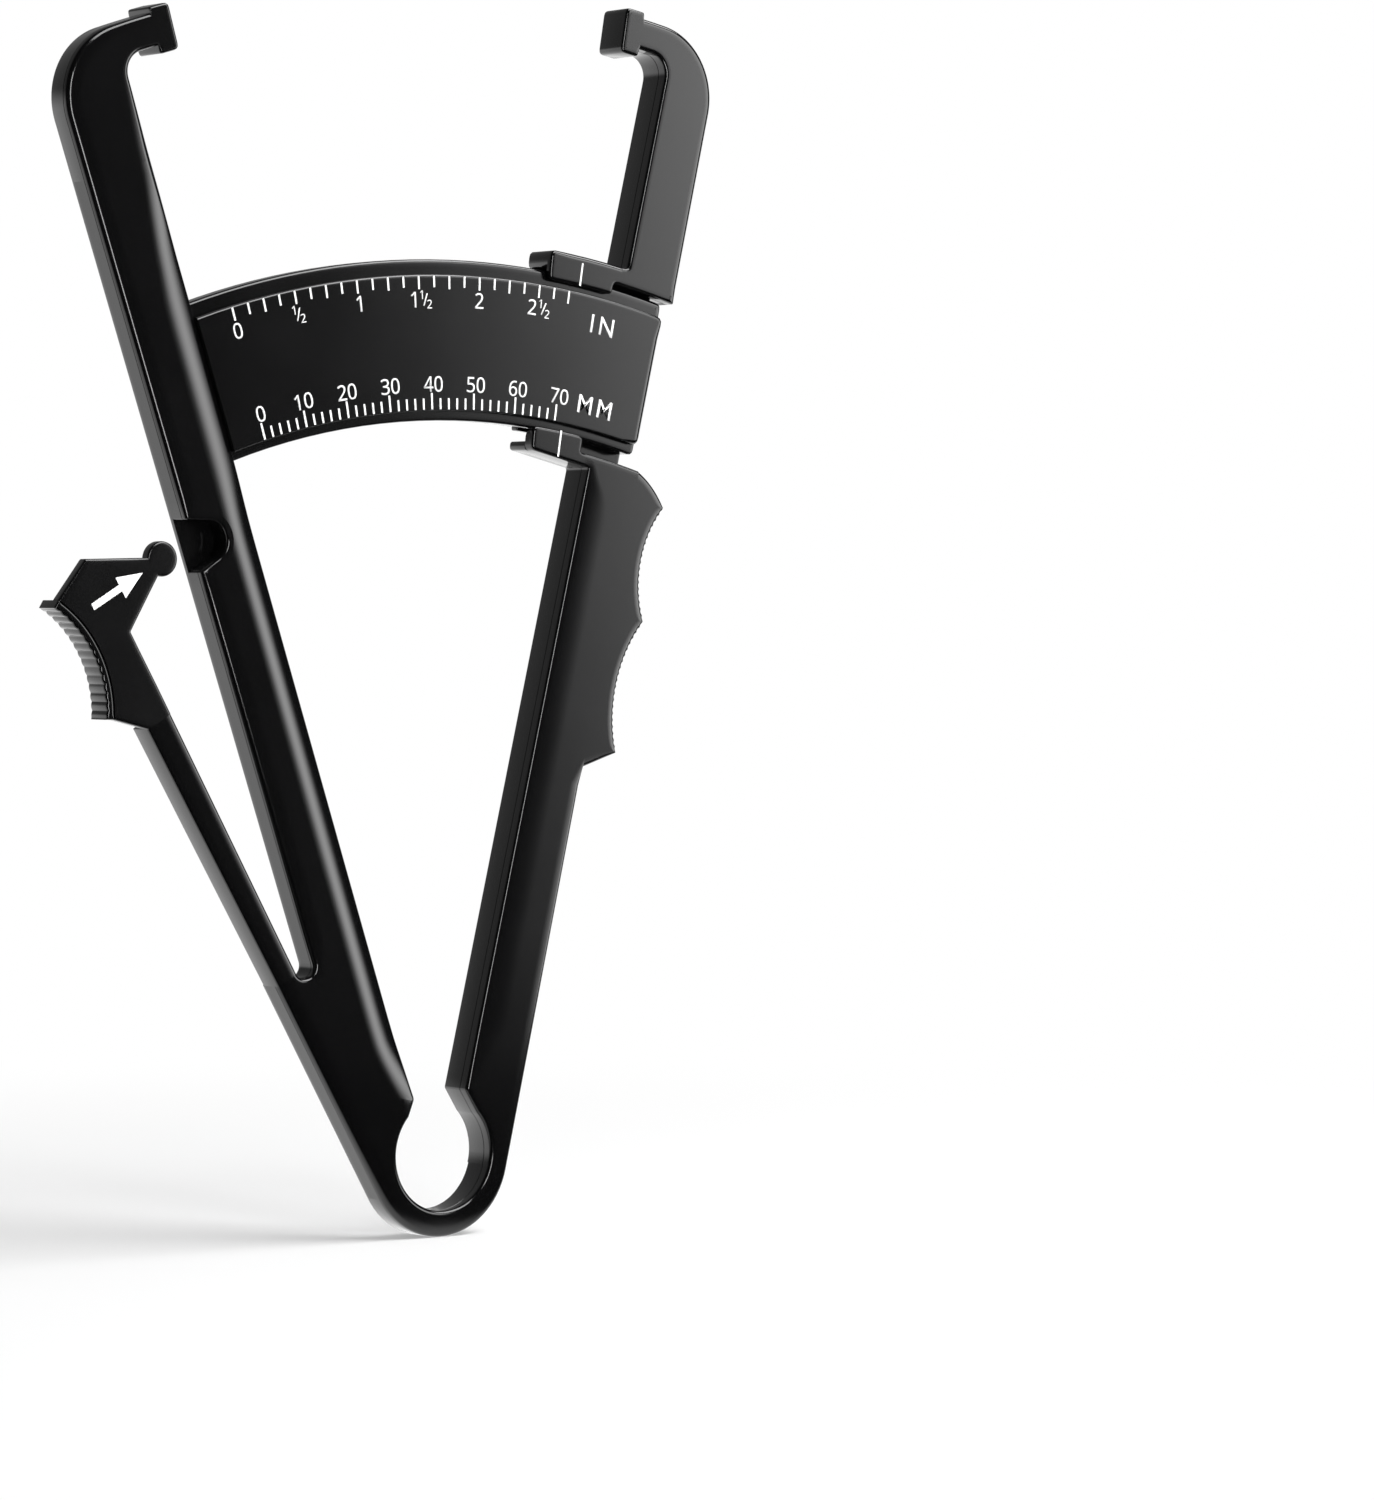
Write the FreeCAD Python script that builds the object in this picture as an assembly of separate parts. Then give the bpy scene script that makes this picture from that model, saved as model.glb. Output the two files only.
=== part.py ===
"""Skinfold caliper: two plastic arms that spring apart on a ring hinge.

The front faces -Y, +Z is up and the jaws are at the top. The origin is the centre of
the ring hole in the front plane. Every outline is drawn about the hinge axis, which is
parallel to Y through the web of the ring, and is moved into place when it is saved.
A lean is an angle to the left of +Z, so a right-hand arm leans by a negative angle.
"""
import FreeCAD, Part
import math
import os

# ---- Driving dimensions (mm, degrees) ----
# Depths, all counted back from the one front plane that every piece shares
RIGHT_ARM_DEPTH = 5.2
LEFT_ARM_DEPTH = 4.0
RING_WEB_DEPTH = 4.6
TRIGGER_DEPTH = 3.85
TRIGGER_WEB_DEPTH = 1.5
PLATE_DEPTH = 3.6
RAIL_RECESS = 1.1
SLIDE_CLEARANCE = 0.3
PRINT_DEPTH = 0.04

# Ring that the two arms flex about
RING_HOLE_RADIUS = 7.5
RING_OUTER_RADIUS = 10.75
RING_OUTER_SHIFT_X = -0.31
RING_OUTER_SHIFT_Z = -0.18
HINGE_SIDE_ANGLE = 15.6
MOUTH_HALF_ANGLE = 47.0
LEFT_MOUTH_ALONG = 17.6
RIGHT_MOUTH_ALONG = 16.8

# Left arm, which carries the scale plate and the trigger
LEFT_LEAN = 18.4
LEFT_TAPER = 0.4
LEFT_INSET = 1.5
LEFT_WIDTH = 9.0
BODY_LEAN = 29.7
LEFT_FILLET = 0.8

# Right arm, which slides over the plate
RIGHT_LEAN = 13.8
RIGHT_TAPER = 0.45
RIGHT_INSET = 3.0
RIGHT_STEP_OUT = 0.6
RIGHT_FILLET = 0.5

# Jaws: how far they reach past the plate, and the two contact faces
LEFT_CONTACT_LEAN = 15.92
RIGHT_CONTACT_LEAN = 9.78
JAW_REACH = 32.1
NECK_WIDTH = 4.2
JAW_CUT_DROP = 13.3
PAD_WIDTH = 3.0
PAD_STEP_IN = 1.1
PAD_STEP_OUT = 0.8
PAD_FILLET = 0.5
PAD_CORNER = 0.75
LEFT_SHOULDER_RADIUS = 9.5
RIGHT_SHOULDER_RADIUS = 9.6
CROOK_RADIUS = 2.8

# Scale plate: widths of its bands outwards from the inner rail's edge
RAIL_INNER_RADIUS = 105.1
RAIL_INNER_WIDTH = 1.3
FACE_WIDTH = 17.8
RAIL_OUTER_WIDTH = 2.0
PLATE_END_LEAN = 13.6
PLATE_END_OFFSET = 4.85
PLATE_END_FILLET = 1.0

# Slide on the right arm: two index tabs joined by a bridge behind the plate
LIP_OVERLAP_INNER = 0.3
LIP_OVERLAP_OUTER = 1.25
TAB_HEIGHT_OUTER = 2.8
TAB_HEIGHT_INNER = 3.7
ARM_TOP_DROP = 1.9
TAB_END_OFFSET = 4.7
TAB_NOTCH_WIDTH = 2.6
TAB_NOTCH_DROP = 1.4
TAB_LIP_DEPTH = 1.7
STOP_CLEARANCE = 0.3

# Finger grip on the outer edge of the right arm: its tips, down from the arm's top
GRIP_TOP_DROP = 3.9
GRIP_MID_DROP = 19.6
GRIP_LOW_DROP = 37.8
GRIP_END_DROP = 40.9
GRIP_TOP_REACH = 10.6
GRIP_MID_REACH = 10.9
GRIP_LOW_REACH = 10.6
GRIP_SHOULDER_BULGE = 0.45
GRIP_UPPER_SCALLOP_RADIUS = 15.5
GRIP_LOWER_SCALLOP_RADIUS = 19.6

# Trigger lever, in the lever's own frame of along and across. The head's points are a rise
# above its heel and a place across, so that the whole head moves with the heel.
TRIGGER_LEAN = 30.4
TRIGGER_INSET = 5.89
TRIGGER_TAPER = 1.0
TRIGGER_SPREAD = 0.1
SLOT_END_RADIUS = 1.5
TRIGGER_FLEXURE_LENGTH = 9.0
LEVER_FILLET = 0.4
HEAD_HEEL_ALONG = 80.6
HEAD_NECK_RISE = 4.1
HEAD_WAIST = (11.9, -4.35)
HEAD_CHIN = (16.26, 3.4)
HEAD_CROWN = (18.27, 3.3)
HEAD_PEAK = (23.2, -5.5)
PAD_ARC_CENTRE = (12.7, -26.1)
PAD_ARC_RADIUS = 15.5
PAD_THICKNESS = 1.2
PAD_LOW_ANGLE = 33.0
PAD_HIGH_ANGLE = 29.0
PAD_GROOVE_COUNT = 13
PAD_GROOVE_RADIUS = 0.3
BALL_CENTRE = (17.46, 4.36)
BALL_RADIUS = 2.25

# Notch in the left arm that takes the ball: a rise above the heel's station and a place across
NOTCH_DEPTH = 3.2
NOTCH_CENTRE = (16.2, -8.7)
NOTCH_RADIUS = 2.65
NOTCH_TOP_LEAN = 90.0
NOTCH_FOOT_LEAN = 33.0

# Printed graduations: a reading is an arc at the jaws' mean radius
ZERO_LEAN = 16.6
MM_STEP = 2
MM_LAST = 70
MM_MAJOR_EVERY = 10
MM_FOOT_GAP = 0.15
MM_MINOR_LENGTH = 1.45
MM_MAJOR_LENGTH = 2.15
INCH = 25.4
INCH_DIVISIONS = 8
INCH_LAST_EIGHTH = 22
INCH_HEAD_GAP = 0.25
INCH_ODD_LENGTH = 1.45
INCH_EVEN_LENGTH = 1.7
LINE_WIDTH = 0.27
INDEX_INSET = 0.5
ARROW_RISE = 17.5
ARROW_TAIL = -7.7
ARROW_NECK = -2.95
ARROW_TIP = 0.85
ARROW_HALF_SHAFT = 0.45
ARROW_HALF_HEAD = 1.5

# ---- Values that follow from them ----
FRONT = 0.0
BACK = FRONT + RIGHT_ARM_DEPTH
LEFT_BACK = FRONT + LEFT_ARM_DEPTH
TRIGGER_BACK = FRONT + TRIGGER_DEPTH
RAIL_FRONT = FRONT + RAIL_RECESS
PLATE_BACK = FRONT + PLATE_DEPTH
LIP_BACK = RAIL_FRONT - SLIDE_CLEARANCE
BRIDGE_FRONT = PLATE_BACK + SLIDE_CLEARANCE
HINGE_RADIUS = (RING_HOLE_RADIUS + RING_OUTER_RADIUS) / 2
HINGE_X = HINGE_RADIUS * math.sin(math.radians(HINGE_SIDE_ANGLE))
HINGE_Z = -HINGE_RADIUS * math.cos(math.radians(HINGE_SIDE_ANGLE))
FACE_INNER_RADIUS = RAIL_INNER_RADIUS + RAIL_INNER_WIDTH
FACE_OUTER_RADIUS = FACE_INNER_RADIUS + FACE_WIDTH
RAIL_OUTER_RADIUS = FACE_OUTER_RADIUS + RAIL_OUTER_WIDTH
NECK_INNER_RADIUS = RAIL_OUTER_RADIUS + JAW_REACH
NECK_OUTER_RADIUS = NECK_INNER_RADIUS + NECK_WIDTH
GRADUATION_RADIUS = (NECK_INNER_RADIUS + NECK_OUTER_RADIUS) / 2
JAW_CUT_ALONG = NECK_INNER_RADIUS - JAW_CUT_DROP
ARM_TOP_RADIUS = RAIL_INNER_RADIUS - ARM_TOP_DROP
LOWER_TAB_ALONG = RAIL_INNER_RADIUS - TAB_HEIGHT_INNER
GRIP_TOP_TIP = (ARM_TOP_RADIUS - GRIP_TOP_DROP, GRIP_TOP_REACH)
GRIP_MID_TIP = (ARM_TOP_RADIUS - GRIP_MID_DROP, GRIP_MID_REACH)
GRIP_LOW_TIP = (ARM_TOP_RADIUS - GRIP_LOW_DROP, GRIP_LOW_REACH)
GRIP_LOW_ALONG = ARM_TOP_RADIUS - GRIP_END_DROP
CLOSING_ANGLE = LEFT_CONTACT_LEAN + RIGHT_CONTACT_LEAN
INDEX_LEAN = ZERO_LEAN - CLOSING_ANGLE
GRADUATION_ANGLE = math.degrees(1 / GRADUATION_RADIUS)


def vector(x, z):
    """A point of an outline."""
    return FreeCAD.Vector(x, 0, z)


def spot(lean, along, across):
    """The point that lies along and across a line of this lean through the hinge axis."""
    a = math.radians(lean)
    return vector(across * math.cos(a) - along * math.sin(a),
                  across * math.sin(a) + along * math.cos(a))


def polar(radius, lean):
    """The point at this radius from the hinge axis, on the ray of this lean."""
    return spot(lean, radius, 0)


def meet(edge_a, edge_b):
    """Where two edges cross. An edge is its lean and its offset to the right of the hinge axis."""
    (lean_a, offset_a), (lean_b, offset_b) = edge_a, edge_b
    turn = math.radians(lean_b - lean_a)
    along = (offset_a * math.cos(turn) - offset_b) / -math.sin(turn)
    return spot(lean_a, along, offset_a)


def on_radius(edge, radius):
    """Where an edge crosses the circle of this radius about the hinge axis."""
    lean, offset = edge
    return spot(lean, math.sqrt(radius ** 2 - offset ** 2), offset)


def offset_of(point, lean):
    """How far right of the hinge axis a line of this lean through the point passes."""
    a = math.radians(lean)
    return point.x * math.cos(a) + point.z * math.sin(a)


def along_of(point, lean):
    """How far along a line of this lean the point lies."""
    a = math.radians(lean)
    return point.z * math.cos(a) - point.x * math.sin(a)


def lean_of(point):
    """The lean of the ray from the hinge axis through a point."""
    return math.degrees(math.atan2(-point.x, point.z))


class Via:
    """A point that an arc of an outline passes on its way to the next corner."""

    def __init__(self, point):
        self.point = point


def arc_between(start, end):
    """The middle of the arc about the hinge axis from one point to another."""
    radius = (start.Length + end.Length) / 2
    return Via(polar(radius, (lean_of(start) + lean_of(end)) / 2))


def slab(outline, front, back):
    """The solid between two depths inside a closed outline of corners and arcs."""
    edges = []
    start = outline[0]
    middle = None
    for item in outline[1:] + outline[:1]:
        if isinstance(item, Via):
            middle = item.point
        elif middle is not None:
            edges.append(Part.Arc(start, middle, item).toShape())
            start = item
            middle = None
        else:
            edges.append(Part.makeLine(start, item))
            start = item
    face = Part.Face(Part.Wire(edges))
    face.translate(FreeCAD.Vector(0, front, 0))
    return face.extrude(FreeCAD.Vector(0, back - front, 0))


def disc(centre, radius, front, back):
    """A round slab."""
    base = FreeCAD.Vector(centre.x, front, centre.z)
    return Part.makeCylinder(radius, back - front, base, FreeCAD.Vector(0, 1, 0))


def round_corner(solid, corner, radius):
    """Round the edge parallel to Y that passes nearest to a corner of the outline."""
    def miss(edge):
        foot = edge.Vertexes[0].Point
        return math.hypot(foot.x - corner.x, foot.z - corner.z)

    upright = [e for e in solid.Edges if e.BoundBox.XLength + e.BoundBox.ZLength < 1e-4]
    return solid.makeFillet(radius, [min(upright, key=miss)])


def on_edge(edge):
    """A test for points that lie on an edge."""
    lean, offset = edge
    return lambda point: abs(offset_of(point, lean) - offset) < 1e-3


def soften_front(solid, radius, joints):
    """Round the edges in the front plane, but not where the solid joins another piece."""
    edges = []
    for edge in solid.Edges:
        middle = edge.valueAt((edge.FirstParameter + edge.LastParameter) / 2)
        if edge.BoundBox.YMax < FRONT + 1e-4 and not any(joint(middle) for joint in joints):
            edges.append(edge)
    return solid.makeFillet(radius, edges)


def beside(edge, side, low, high):
    """A wide block to the right (+1) or left (-1) of an edge, between two stations along it."""
    lean, offset = edge
    reach = offset + side * RING_OUTER_RADIUS * 8
    outline = [spot(lean, low, offset), spot(lean, low, reach),
               spot(lean, high, reach), spot(lean, high, offset)]
    return slab(outline, FRONT - 1, BACK + 1)


def band(lean, low, high):
    """A wide block between two stations along a lean, for splitting an arm into pieces."""
    reach = RING_OUTER_RADIUS * 8
    outline = [spot(lean, low, -reach), spot(lean, low, reach),
               spot(lean, high, reach), spot(lean, high, -reach)]
    return slab(outline, FRONT - 1, BACK + 1)


# ---- Ring and edges that several pieces share ----
RING_CENTRE = vector(-HINGE_X, -HINGE_Z)
RING_OUTER_CENTRE = RING_CENTRE + vector(RING_OUTER_SHIFT_X, RING_OUTER_SHIFT_Z)
LEFT_INNER = (LEFT_LEAN, -LEFT_INSET)
LEFT_OUTER = (LEFT_LEAN + LEFT_TAPER, -LEFT_INSET - LEFT_WIDTH)
BODY_OUTER = (BODY_LEAN, offset_of(RING_OUTER_CENTRE, BODY_LEAN) - RING_OUTER_RADIUS)
RIGHT_INNER = (-RIGHT_LEAN, -RIGHT_INSET)
RIGHT_OUTER_LEAN = -RIGHT_LEAN + RIGHT_TAPER
RIGHT_OUTER = (RIGHT_OUTER_LEAN,
               offset_of(RING_OUTER_CENTRE, RIGHT_OUTER_LEAN) + RING_OUTER_RADIUS)
UPPER_OUTER = (RIGHT_OUTER_LEAN, RIGHT_OUTER[1] + RIGHT_STEP_OUT)
PLATE_END = (-PLATE_END_LEAN, PLATE_END_OFFSET)
TAB_END = (-RIGHT_LEAN, -TAB_END_OFFSET)
TAB_JOINT = (-RIGHT_LEAN, -(TAB_END_OFFSET + RIGHT_INSET) / 2)
LOWER_BLOCK_RADIUS = RAIL_INNER_RADIUS - SLIDE_CLEARANCE
LOWER_LIP_RADIUS = RAIL_INNER_RADIUS + LIP_OVERLAP_INNER
UPPER_BLOCK_RADIUS = RAIL_OUTER_RADIUS + SLIDE_CLEARANCE
UPPER_TAB_RADIUS = RAIL_OUTER_RADIUS + TAB_HEIGHT_OUTER
PAD_ANGLE = math.degrees(PAD_WIDTH / GRADUATION_RADIUS)
LEFT_PAD_LEAN = LEFT_CONTACT_LEAN + PAD_ANGLE
RIGHT_PAD_LEAN = -RIGHT_CONTACT_LEAN - PAD_ANGLE
TRIGGER_INNER = (TRIGGER_LEAN - TRIGGER_TAPER, -TRIGGER_INSET)
RING_LEFT_TANGENT = RING_OUTER_CENTRE - spot(BODY_LEAN, 0, RING_OUTER_RADIUS)
RING_RIGHT_TANGENT = RING_OUTER_CENTRE + spot(RIGHT_OUTER_LEAN, 0, RING_OUTER_RADIUS)
SLOT_CENTRE = meet((TRIGGER_INNER[0], SLOT_END_RADIUS - TRIGGER_INSET),
                   (LEFT_OUTER[0], LEFT_OUTER[1] - SLOT_END_RADIUS))
TRIGGER_ROOT_ALONG = along_of(SLOT_CENTRE, TRIGGER_LEAN)
TRIGGER_TIP_ALONG = TRIGGER_ROOT_ALONG + TRIGGER_FLEXURE_LENGTH
TRIGGER_ROOT = (TRIGGER_LEAN + 90, TRIGGER_ROOT_ALONG)
BODY_ROOT_POINT = meet(BODY_OUTER, TRIGGER_ROOT)
TRIGGER_OUTER_LEAN = TRIGGER_LEAN + TRIGGER_SPREAD
TRIGGER_OUTER = (TRIGGER_OUTER_LEAN, offset_of(BODY_ROOT_POINT, TRIGGER_OUTER_LEAN))


def ring_point(radius, lean):
    """A point about the centre of the ring hole."""
    return RING_CENTRE + spot(lean, radius, 0)


def ring_lean(point):
    """The lean of the ray from the centre of the ring hole, from 0 to 360 degrees."""
    return lean_of(point - RING_CENTRE) % 360


def stop_lean(radius):
    """Where a tab ends, so that at the closing stop it stays clear of the left arm."""
    arm_edge = lean_of(on_radius(LEFT_INNER, radius))
    return arm_edge - CLOSING_ANGLE - math.degrees(STOP_CLEARANCE / radius)


# ---- Left arm ----
def left_moulding():
    """The left arm from the ring to the neck of its jaw."""
    hole_end = ring_point(RING_HOLE_RADIUS, MOUTH_HALF_ANGLE)
    web_lean = ring_lean(RING_LEFT_TANGENT)
    web_top = ring_point(RING_HOLE_RADIUS, web_lean)
    hole_side = ring_point(RING_HOLE_RADIUS, (MOUTH_HALF_ANGLE + web_lean) / 2)
    slot_bottom = SLOT_CENTRE - spot((TRIGGER_INNER[0] + LEFT_OUTER[0]) / 2, SLOT_END_RADIUS, 0)
    shoulder = on_radius(LEFT_OUTER, NECK_OUTER_RADIUS)
    crook = on_radius(LEFT_INNER, NECK_INNER_RADIUS)
    neck_out = polar(NECK_OUTER_RADIUS, LEFT_PAD_LEAN)
    neck_in = polar(NECK_INNER_RADIUS, LEFT_PAD_LEAN)
    outline = [
        RING_LEFT_TANGENT, web_top, Via(hole_side), hole_end,
        spot(LEFT_LEAN, LEFT_MOUTH_ALONG, -LEFT_INSET),
        crook, arc_between(crook, neck_in), neck_in,
        neck_out, arc_between(neck_out, shoulder), shoulder,
        SLOT_CENTRE + spot(LEFT_OUTER[0], 0, SLOT_END_RADIUS), Via(slot_bottom),
        meet(TRIGGER_INNER, TRIGGER_ROOT), BODY_ROOT_POINT,
    ]
    solid = slab(outline, FRONT, LEFT_BACK)
    solid = round_corner(solid, shoulder, LEFT_SHOULDER_RADIUS)
    solid = round_corner(solid, crook, CROOK_RADIUS)
    joints = [on_edge((web_lean, offset_of(RING_CENTRE, web_lean))), on_edge((LEFT_PAD_LEAN, 0)),
              on_edge(TRIGGER_ROOT)]
    solid = soften_front(solid, LEFT_FILLET, joints)
    return solid.cut(notch())


def above_heel(lean, place):
    """A point at a rise above the trigger heel's station, along and across a line of this lean."""
    rise, across = place
    return spot(lean, HEAD_HEEL_ALONG + rise, across)


def notch():
    """The blind pocket in the front of the left arm, open to the trigger's side."""
    centre = above_heel(LEFT_LEAN, NOTCH_CENTRE)
    top = centre + vector(0, NOTCH_RADIUS)
    foot = centre + spot(NOTCH_FOOT_LEAN - 180, NOTCH_RADIUS, 0)
    right = centre + vector(NOTCH_RADIUS, 0)
    reach = LEFT_WIDTH
    outline = [top + vector(-reach, 0), top, Via(right), foot,
               foot + spot(NOTCH_FOOT_LEAN + NOTCH_TOP_LEAN, reach, 0)]
    return slab(outline, FRONT - 1, FRONT + NOTCH_DEPTH)


def contact_pad(contact_lean, far_lean):
    """The stepped pad between a jaw's contact face and the end of its neck."""
    inner = NECK_INNER_RADIUS - PAD_STEP_IN
    outer = NECK_OUTER_RADIUS + PAD_STEP_OUT
    corners = [polar(inner, contact_lean), polar(inner, far_lean),
               polar(outer, far_lean), polar(outer, contact_lean)]
    outline = [corners[0], arc_between(corners[0], corners[1]), corners[1],
               corners[2], arc_between(corners[2], corners[3]), corners[3]]
    solid = slab(outline, FRONT, BACK)
    for corner in corners[:2]:
        solid = round_corner(solid, corner, PAD_FILLET)
    return round_corner(solid, corners[2], PAD_CORNER)


# ---- Right arm and its slide ----
def grip_scallop(low_tip, high_tip, radius):
    """The middle of a concave arc of this radius between two tips of the finger grip."""
    low = spot(-RIGHT_LEAN, *low_tip)
    high = spot(-RIGHT_LEAN, *high_tip)
    chord = high - low
    sag = radius - math.sqrt(radius ** 2 - (chord.Length / 2) ** 2)
    inward = vector(-chord.z, chord.x).normalize()
    return Via((low + high) / 2 + inward * sag)


def grip_shoulder(tip, top):
    """The middle of the bulging edge from the grip's top tip to the top of the arm."""
    chord = top - tip
    outward = vector(chord.z, -chord.x).normalize()
    return Via((tip + top) / 2 + outward * GRIP_SHOULDER_BULGE)


def on_tab(point):
    """Whether a point of the front plane lies on one of the two tabs, whose edges stay crisp."""
    beyond_arm = offset_of(point, -RIGHT_LEAN) < -RIGHT_INSET - 1e-3
    return beyond_arm and point.Length < UPPER_TAB_RADIUS + SLIDE_CLEARANCE


def lower_profile(tab_radius):
    """The outline of the lower half: arm, finger grip and a tab up to this radius."""
    web_lean = ring_lean(RING_RIGHT_TANGENT)
    hole_end = ring_point(RING_HOLE_RADIUS, -MOUTH_HALF_ANGLE)
    hole_side = ring_point(RING_HOLE_RADIUS, (360 - MOUTH_HALF_ANGLE + web_lean) / 2)
    top_out = on_radius(RIGHT_OUTER, ARM_TOP_RADIUS)
    step_low = on_radius(TAB_END, ARM_TOP_RADIUS)
    step_high = on_radius(TAB_END, tab_radius)
    end_lean = stop_lean(LOWER_BLOCK_RADIUS)
    far = polar(tab_radius, end_lean)
    tab_foot = (90 - RIGHT_LEAN, LOWER_TAB_ALONG)
    return [
        RING_RIGHT_TANGENT, meet(RIGHT_OUTER, (90 - RIGHT_LEAN, GRIP_LOW_ALONG)),
        spot(-RIGHT_LEAN, *GRIP_LOW_TIP),
        grip_scallop(GRIP_LOW_TIP, GRIP_MID_TIP, GRIP_LOWER_SCALLOP_RADIUS),
        spot(-RIGHT_LEAN, *GRIP_MID_TIP),
        grip_scallop(GRIP_MID_TIP, GRIP_TOP_TIP, GRIP_UPPER_SCALLOP_RADIUS),
        spot(-RIGHT_LEAN, *GRIP_TOP_TIP),
        grip_shoulder(spot(-RIGHT_LEAN, *GRIP_TOP_TIP), top_out),
        top_out, arc_between(top_out, step_low), step_low,
        step_high, arc_between(step_high, far), far,
        meet((end_lean, 0), tab_foot), meet(RIGHT_INNER, tab_foot),
        spot(-RIGHT_LEAN, RIGHT_MOUTH_ALONG, -RIGHT_INSET),
        hole_end, Via(hole_side), ring_point(RING_HOLE_RADIUS, web_lean),
    ]


def right_lower_moulding():
    """The right arm from the ring up, with its finger grip and the tab below the plate."""
    block = slab(lower_profile(LOWER_BLOCK_RADIUS), LIP_BACK, BACK)
    lip = slab(lower_profile(LOWER_LIP_RADIUS), FRONT, LIP_BACK)
    return block.fuse(lip).removeSplitter().cut(tab_notch())


def tab_notch():
    """The step behind the lip, at the free end of the lower tab."""
    low = LOWER_BLOCK_RADIUS - TAB_NOTCH_DROP
    high = LOWER_BLOCK_RADIUS + TAB_NOTCH_DROP
    end_lean = stop_lean(LOWER_BLOCK_RADIUS)
    near_lean = end_lean - math.degrees(TAB_NOTCH_WIDTH / LOWER_BLOCK_RADIUS)
    far_lean = end_lean + math.degrees(TAB_NOTCH_WIDTH / LOWER_BLOCK_RADIUS)
    outline = [polar(low, far_lean), polar(low, near_lean),
               polar(high, near_lean), polar(high, far_lean)]
    return slab(outline, FRONT + TAB_LIP_DEPTH, BACK + 1)


def upper_profile(tab_low):
    """The outline of the upper half: arm, neck of the jaw and a tab down to this radius."""
    foot_out = on_radius(UPPER_OUTER, UPPER_BLOCK_RADIUS)
    shoulder = on_radius(UPPER_OUTER, NECK_OUTER_RADIUS)
    crook = on_radius(RIGHT_INNER, NECK_INNER_RADIUS)
    neck_out = polar(NECK_OUTER_RADIUS, RIGHT_PAD_LEAN)
    neck_in = polar(NECK_INNER_RADIUS, RIGHT_PAD_LEAN)
    arm_foot = on_radius(TAB_END, UPPER_BLOCK_RADIUS)
    tab_right = on_radius(TAB_END, tab_low)
    tab_left = polar(tab_low, stop_lean(UPPER_TAB_RADIUS))
    tab_top = polar(UPPER_TAB_RADIUS, stop_lean(UPPER_TAB_RADIUS))
    inner_foot = on_radius(RIGHT_INNER, UPPER_TAB_RADIUS)
    outline = [tab_left, arc_between(tab_left, tab_right), tab_right]
    if tab_low < UPPER_BLOCK_RADIUS:
        outline.append(arm_foot)
    return outline + [
        arc_between(arm_foot, foot_out), foot_out, shoulder,
        arc_between(shoulder, neck_out), neck_out, neck_in,
        arc_between(neck_in, crook), crook, inner_foot,
        arc_between(inner_foot, tab_top), tab_top,
    ]


def right_upper_moulding():
    """The right arm above the plate, with the neck of its jaw and the tab above the plate."""
    block = slab(upper_profile(UPPER_BLOCK_RADIUS), LIP_BACK, BACK)
    lip = slab(upper_profile(RAIL_OUTER_RADIUS - LIP_OVERLAP_OUTER), FRONT, LIP_BACK)
    solid = block.fuse(lip).removeSplitter()
    shoulder = on_radius(UPPER_OUTER, NECK_OUTER_RADIUS)
    crook = on_radius(RIGHT_INNER, NECK_INNER_RADIUS)
    solid = round_corner(solid, shoulder, RIGHT_SHOULDER_RADIUS)
    return round_corner(solid, crook, CROOK_RADIUS)


def slide_bridge():
    """The strap behind the plate that joins the lower arm to the upper one."""
    start = polar(LOWER_BLOCK_RADIUS, stop_lean(LOWER_BLOCK_RADIUS))
    step_high = on_radius(TAB_END, LOWER_BLOCK_RADIUS)
    step_low = on_radius(TAB_END, ARM_TOP_RADIUS)
    low_end = on_radius(PLATE_END, ARM_TOP_RADIUS)
    high_end = on_radius(PLATE_END, UPPER_BLOCK_RADIUS)
    finish = polar(UPPER_BLOCK_RADIUS, stop_lean(UPPER_BLOCK_RADIUS))
    outline = [start, arc_between(start, step_high), step_high,
               step_low, arc_between(step_low, low_end), low_end,
               high_end, arc_between(high_end, finish), finish]
    return slab(outline, BRIDGE_FRONT, BACK)


# ---- Scale plate ----
def plate_sector(low, high, front, back):
    """The part of a ring about the hinge axis between the left arm and the plate's end."""
    corners = [on_radius(LEFT_INNER, low), on_radius(PLATE_END, low),
               on_radius(PLATE_END, high), on_radius(LEFT_INNER, high)]
    outline = [corners[0], arc_between(corners[0], corners[1]), corners[1],
               corners[2], arc_between(corners[2], corners[3]), corners[3]]
    return slab(outline, front, back)


def scale_plate():
    """The curved plate: a raised face between two rails that the slide hooks over."""
    rails = plate_sector(RAIL_INNER_RADIUS, RAIL_OUTER_RADIUS, RAIL_FRONT, PLATE_BACK)
    face = plate_sector(FACE_INNER_RADIUS, FACE_OUTER_RADIUS, FRONT, RAIL_FRONT)
    solid = rails.fuse(face).removeSplitter()
    solid = soften_front(solid, PLATE_END_FILLET, [lambda point: not on_edge(PLATE_END)(point)])
    return solid


# ---- Ring web and trigger ----
def ring_flexure():
    """The lower half of the ring, which bends when the arms are squeezed."""
    left_lean = ring_lean(RING_LEFT_TANGENT)
    right_lean = ring_lean(RING_RIGHT_TANGENT)
    hole_bottom = ring_point(RING_HOLE_RADIUS, (left_lean + right_lean) / 2)
    bottom = RING_OUTER_CENTRE + vector(0, -RING_OUTER_RADIUS)
    outline = [RING_LEFT_TANGENT, Via(bottom), RING_RIGHT_TANGENT,
               ring_point(RING_HOLE_RADIUS, right_lean), Via(hole_bottom),
               ring_point(RING_HOLE_RADIUS, left_lean)]
    return slab(outline, FRONT, FRONT + RING_WEB_DEPTH)


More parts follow.
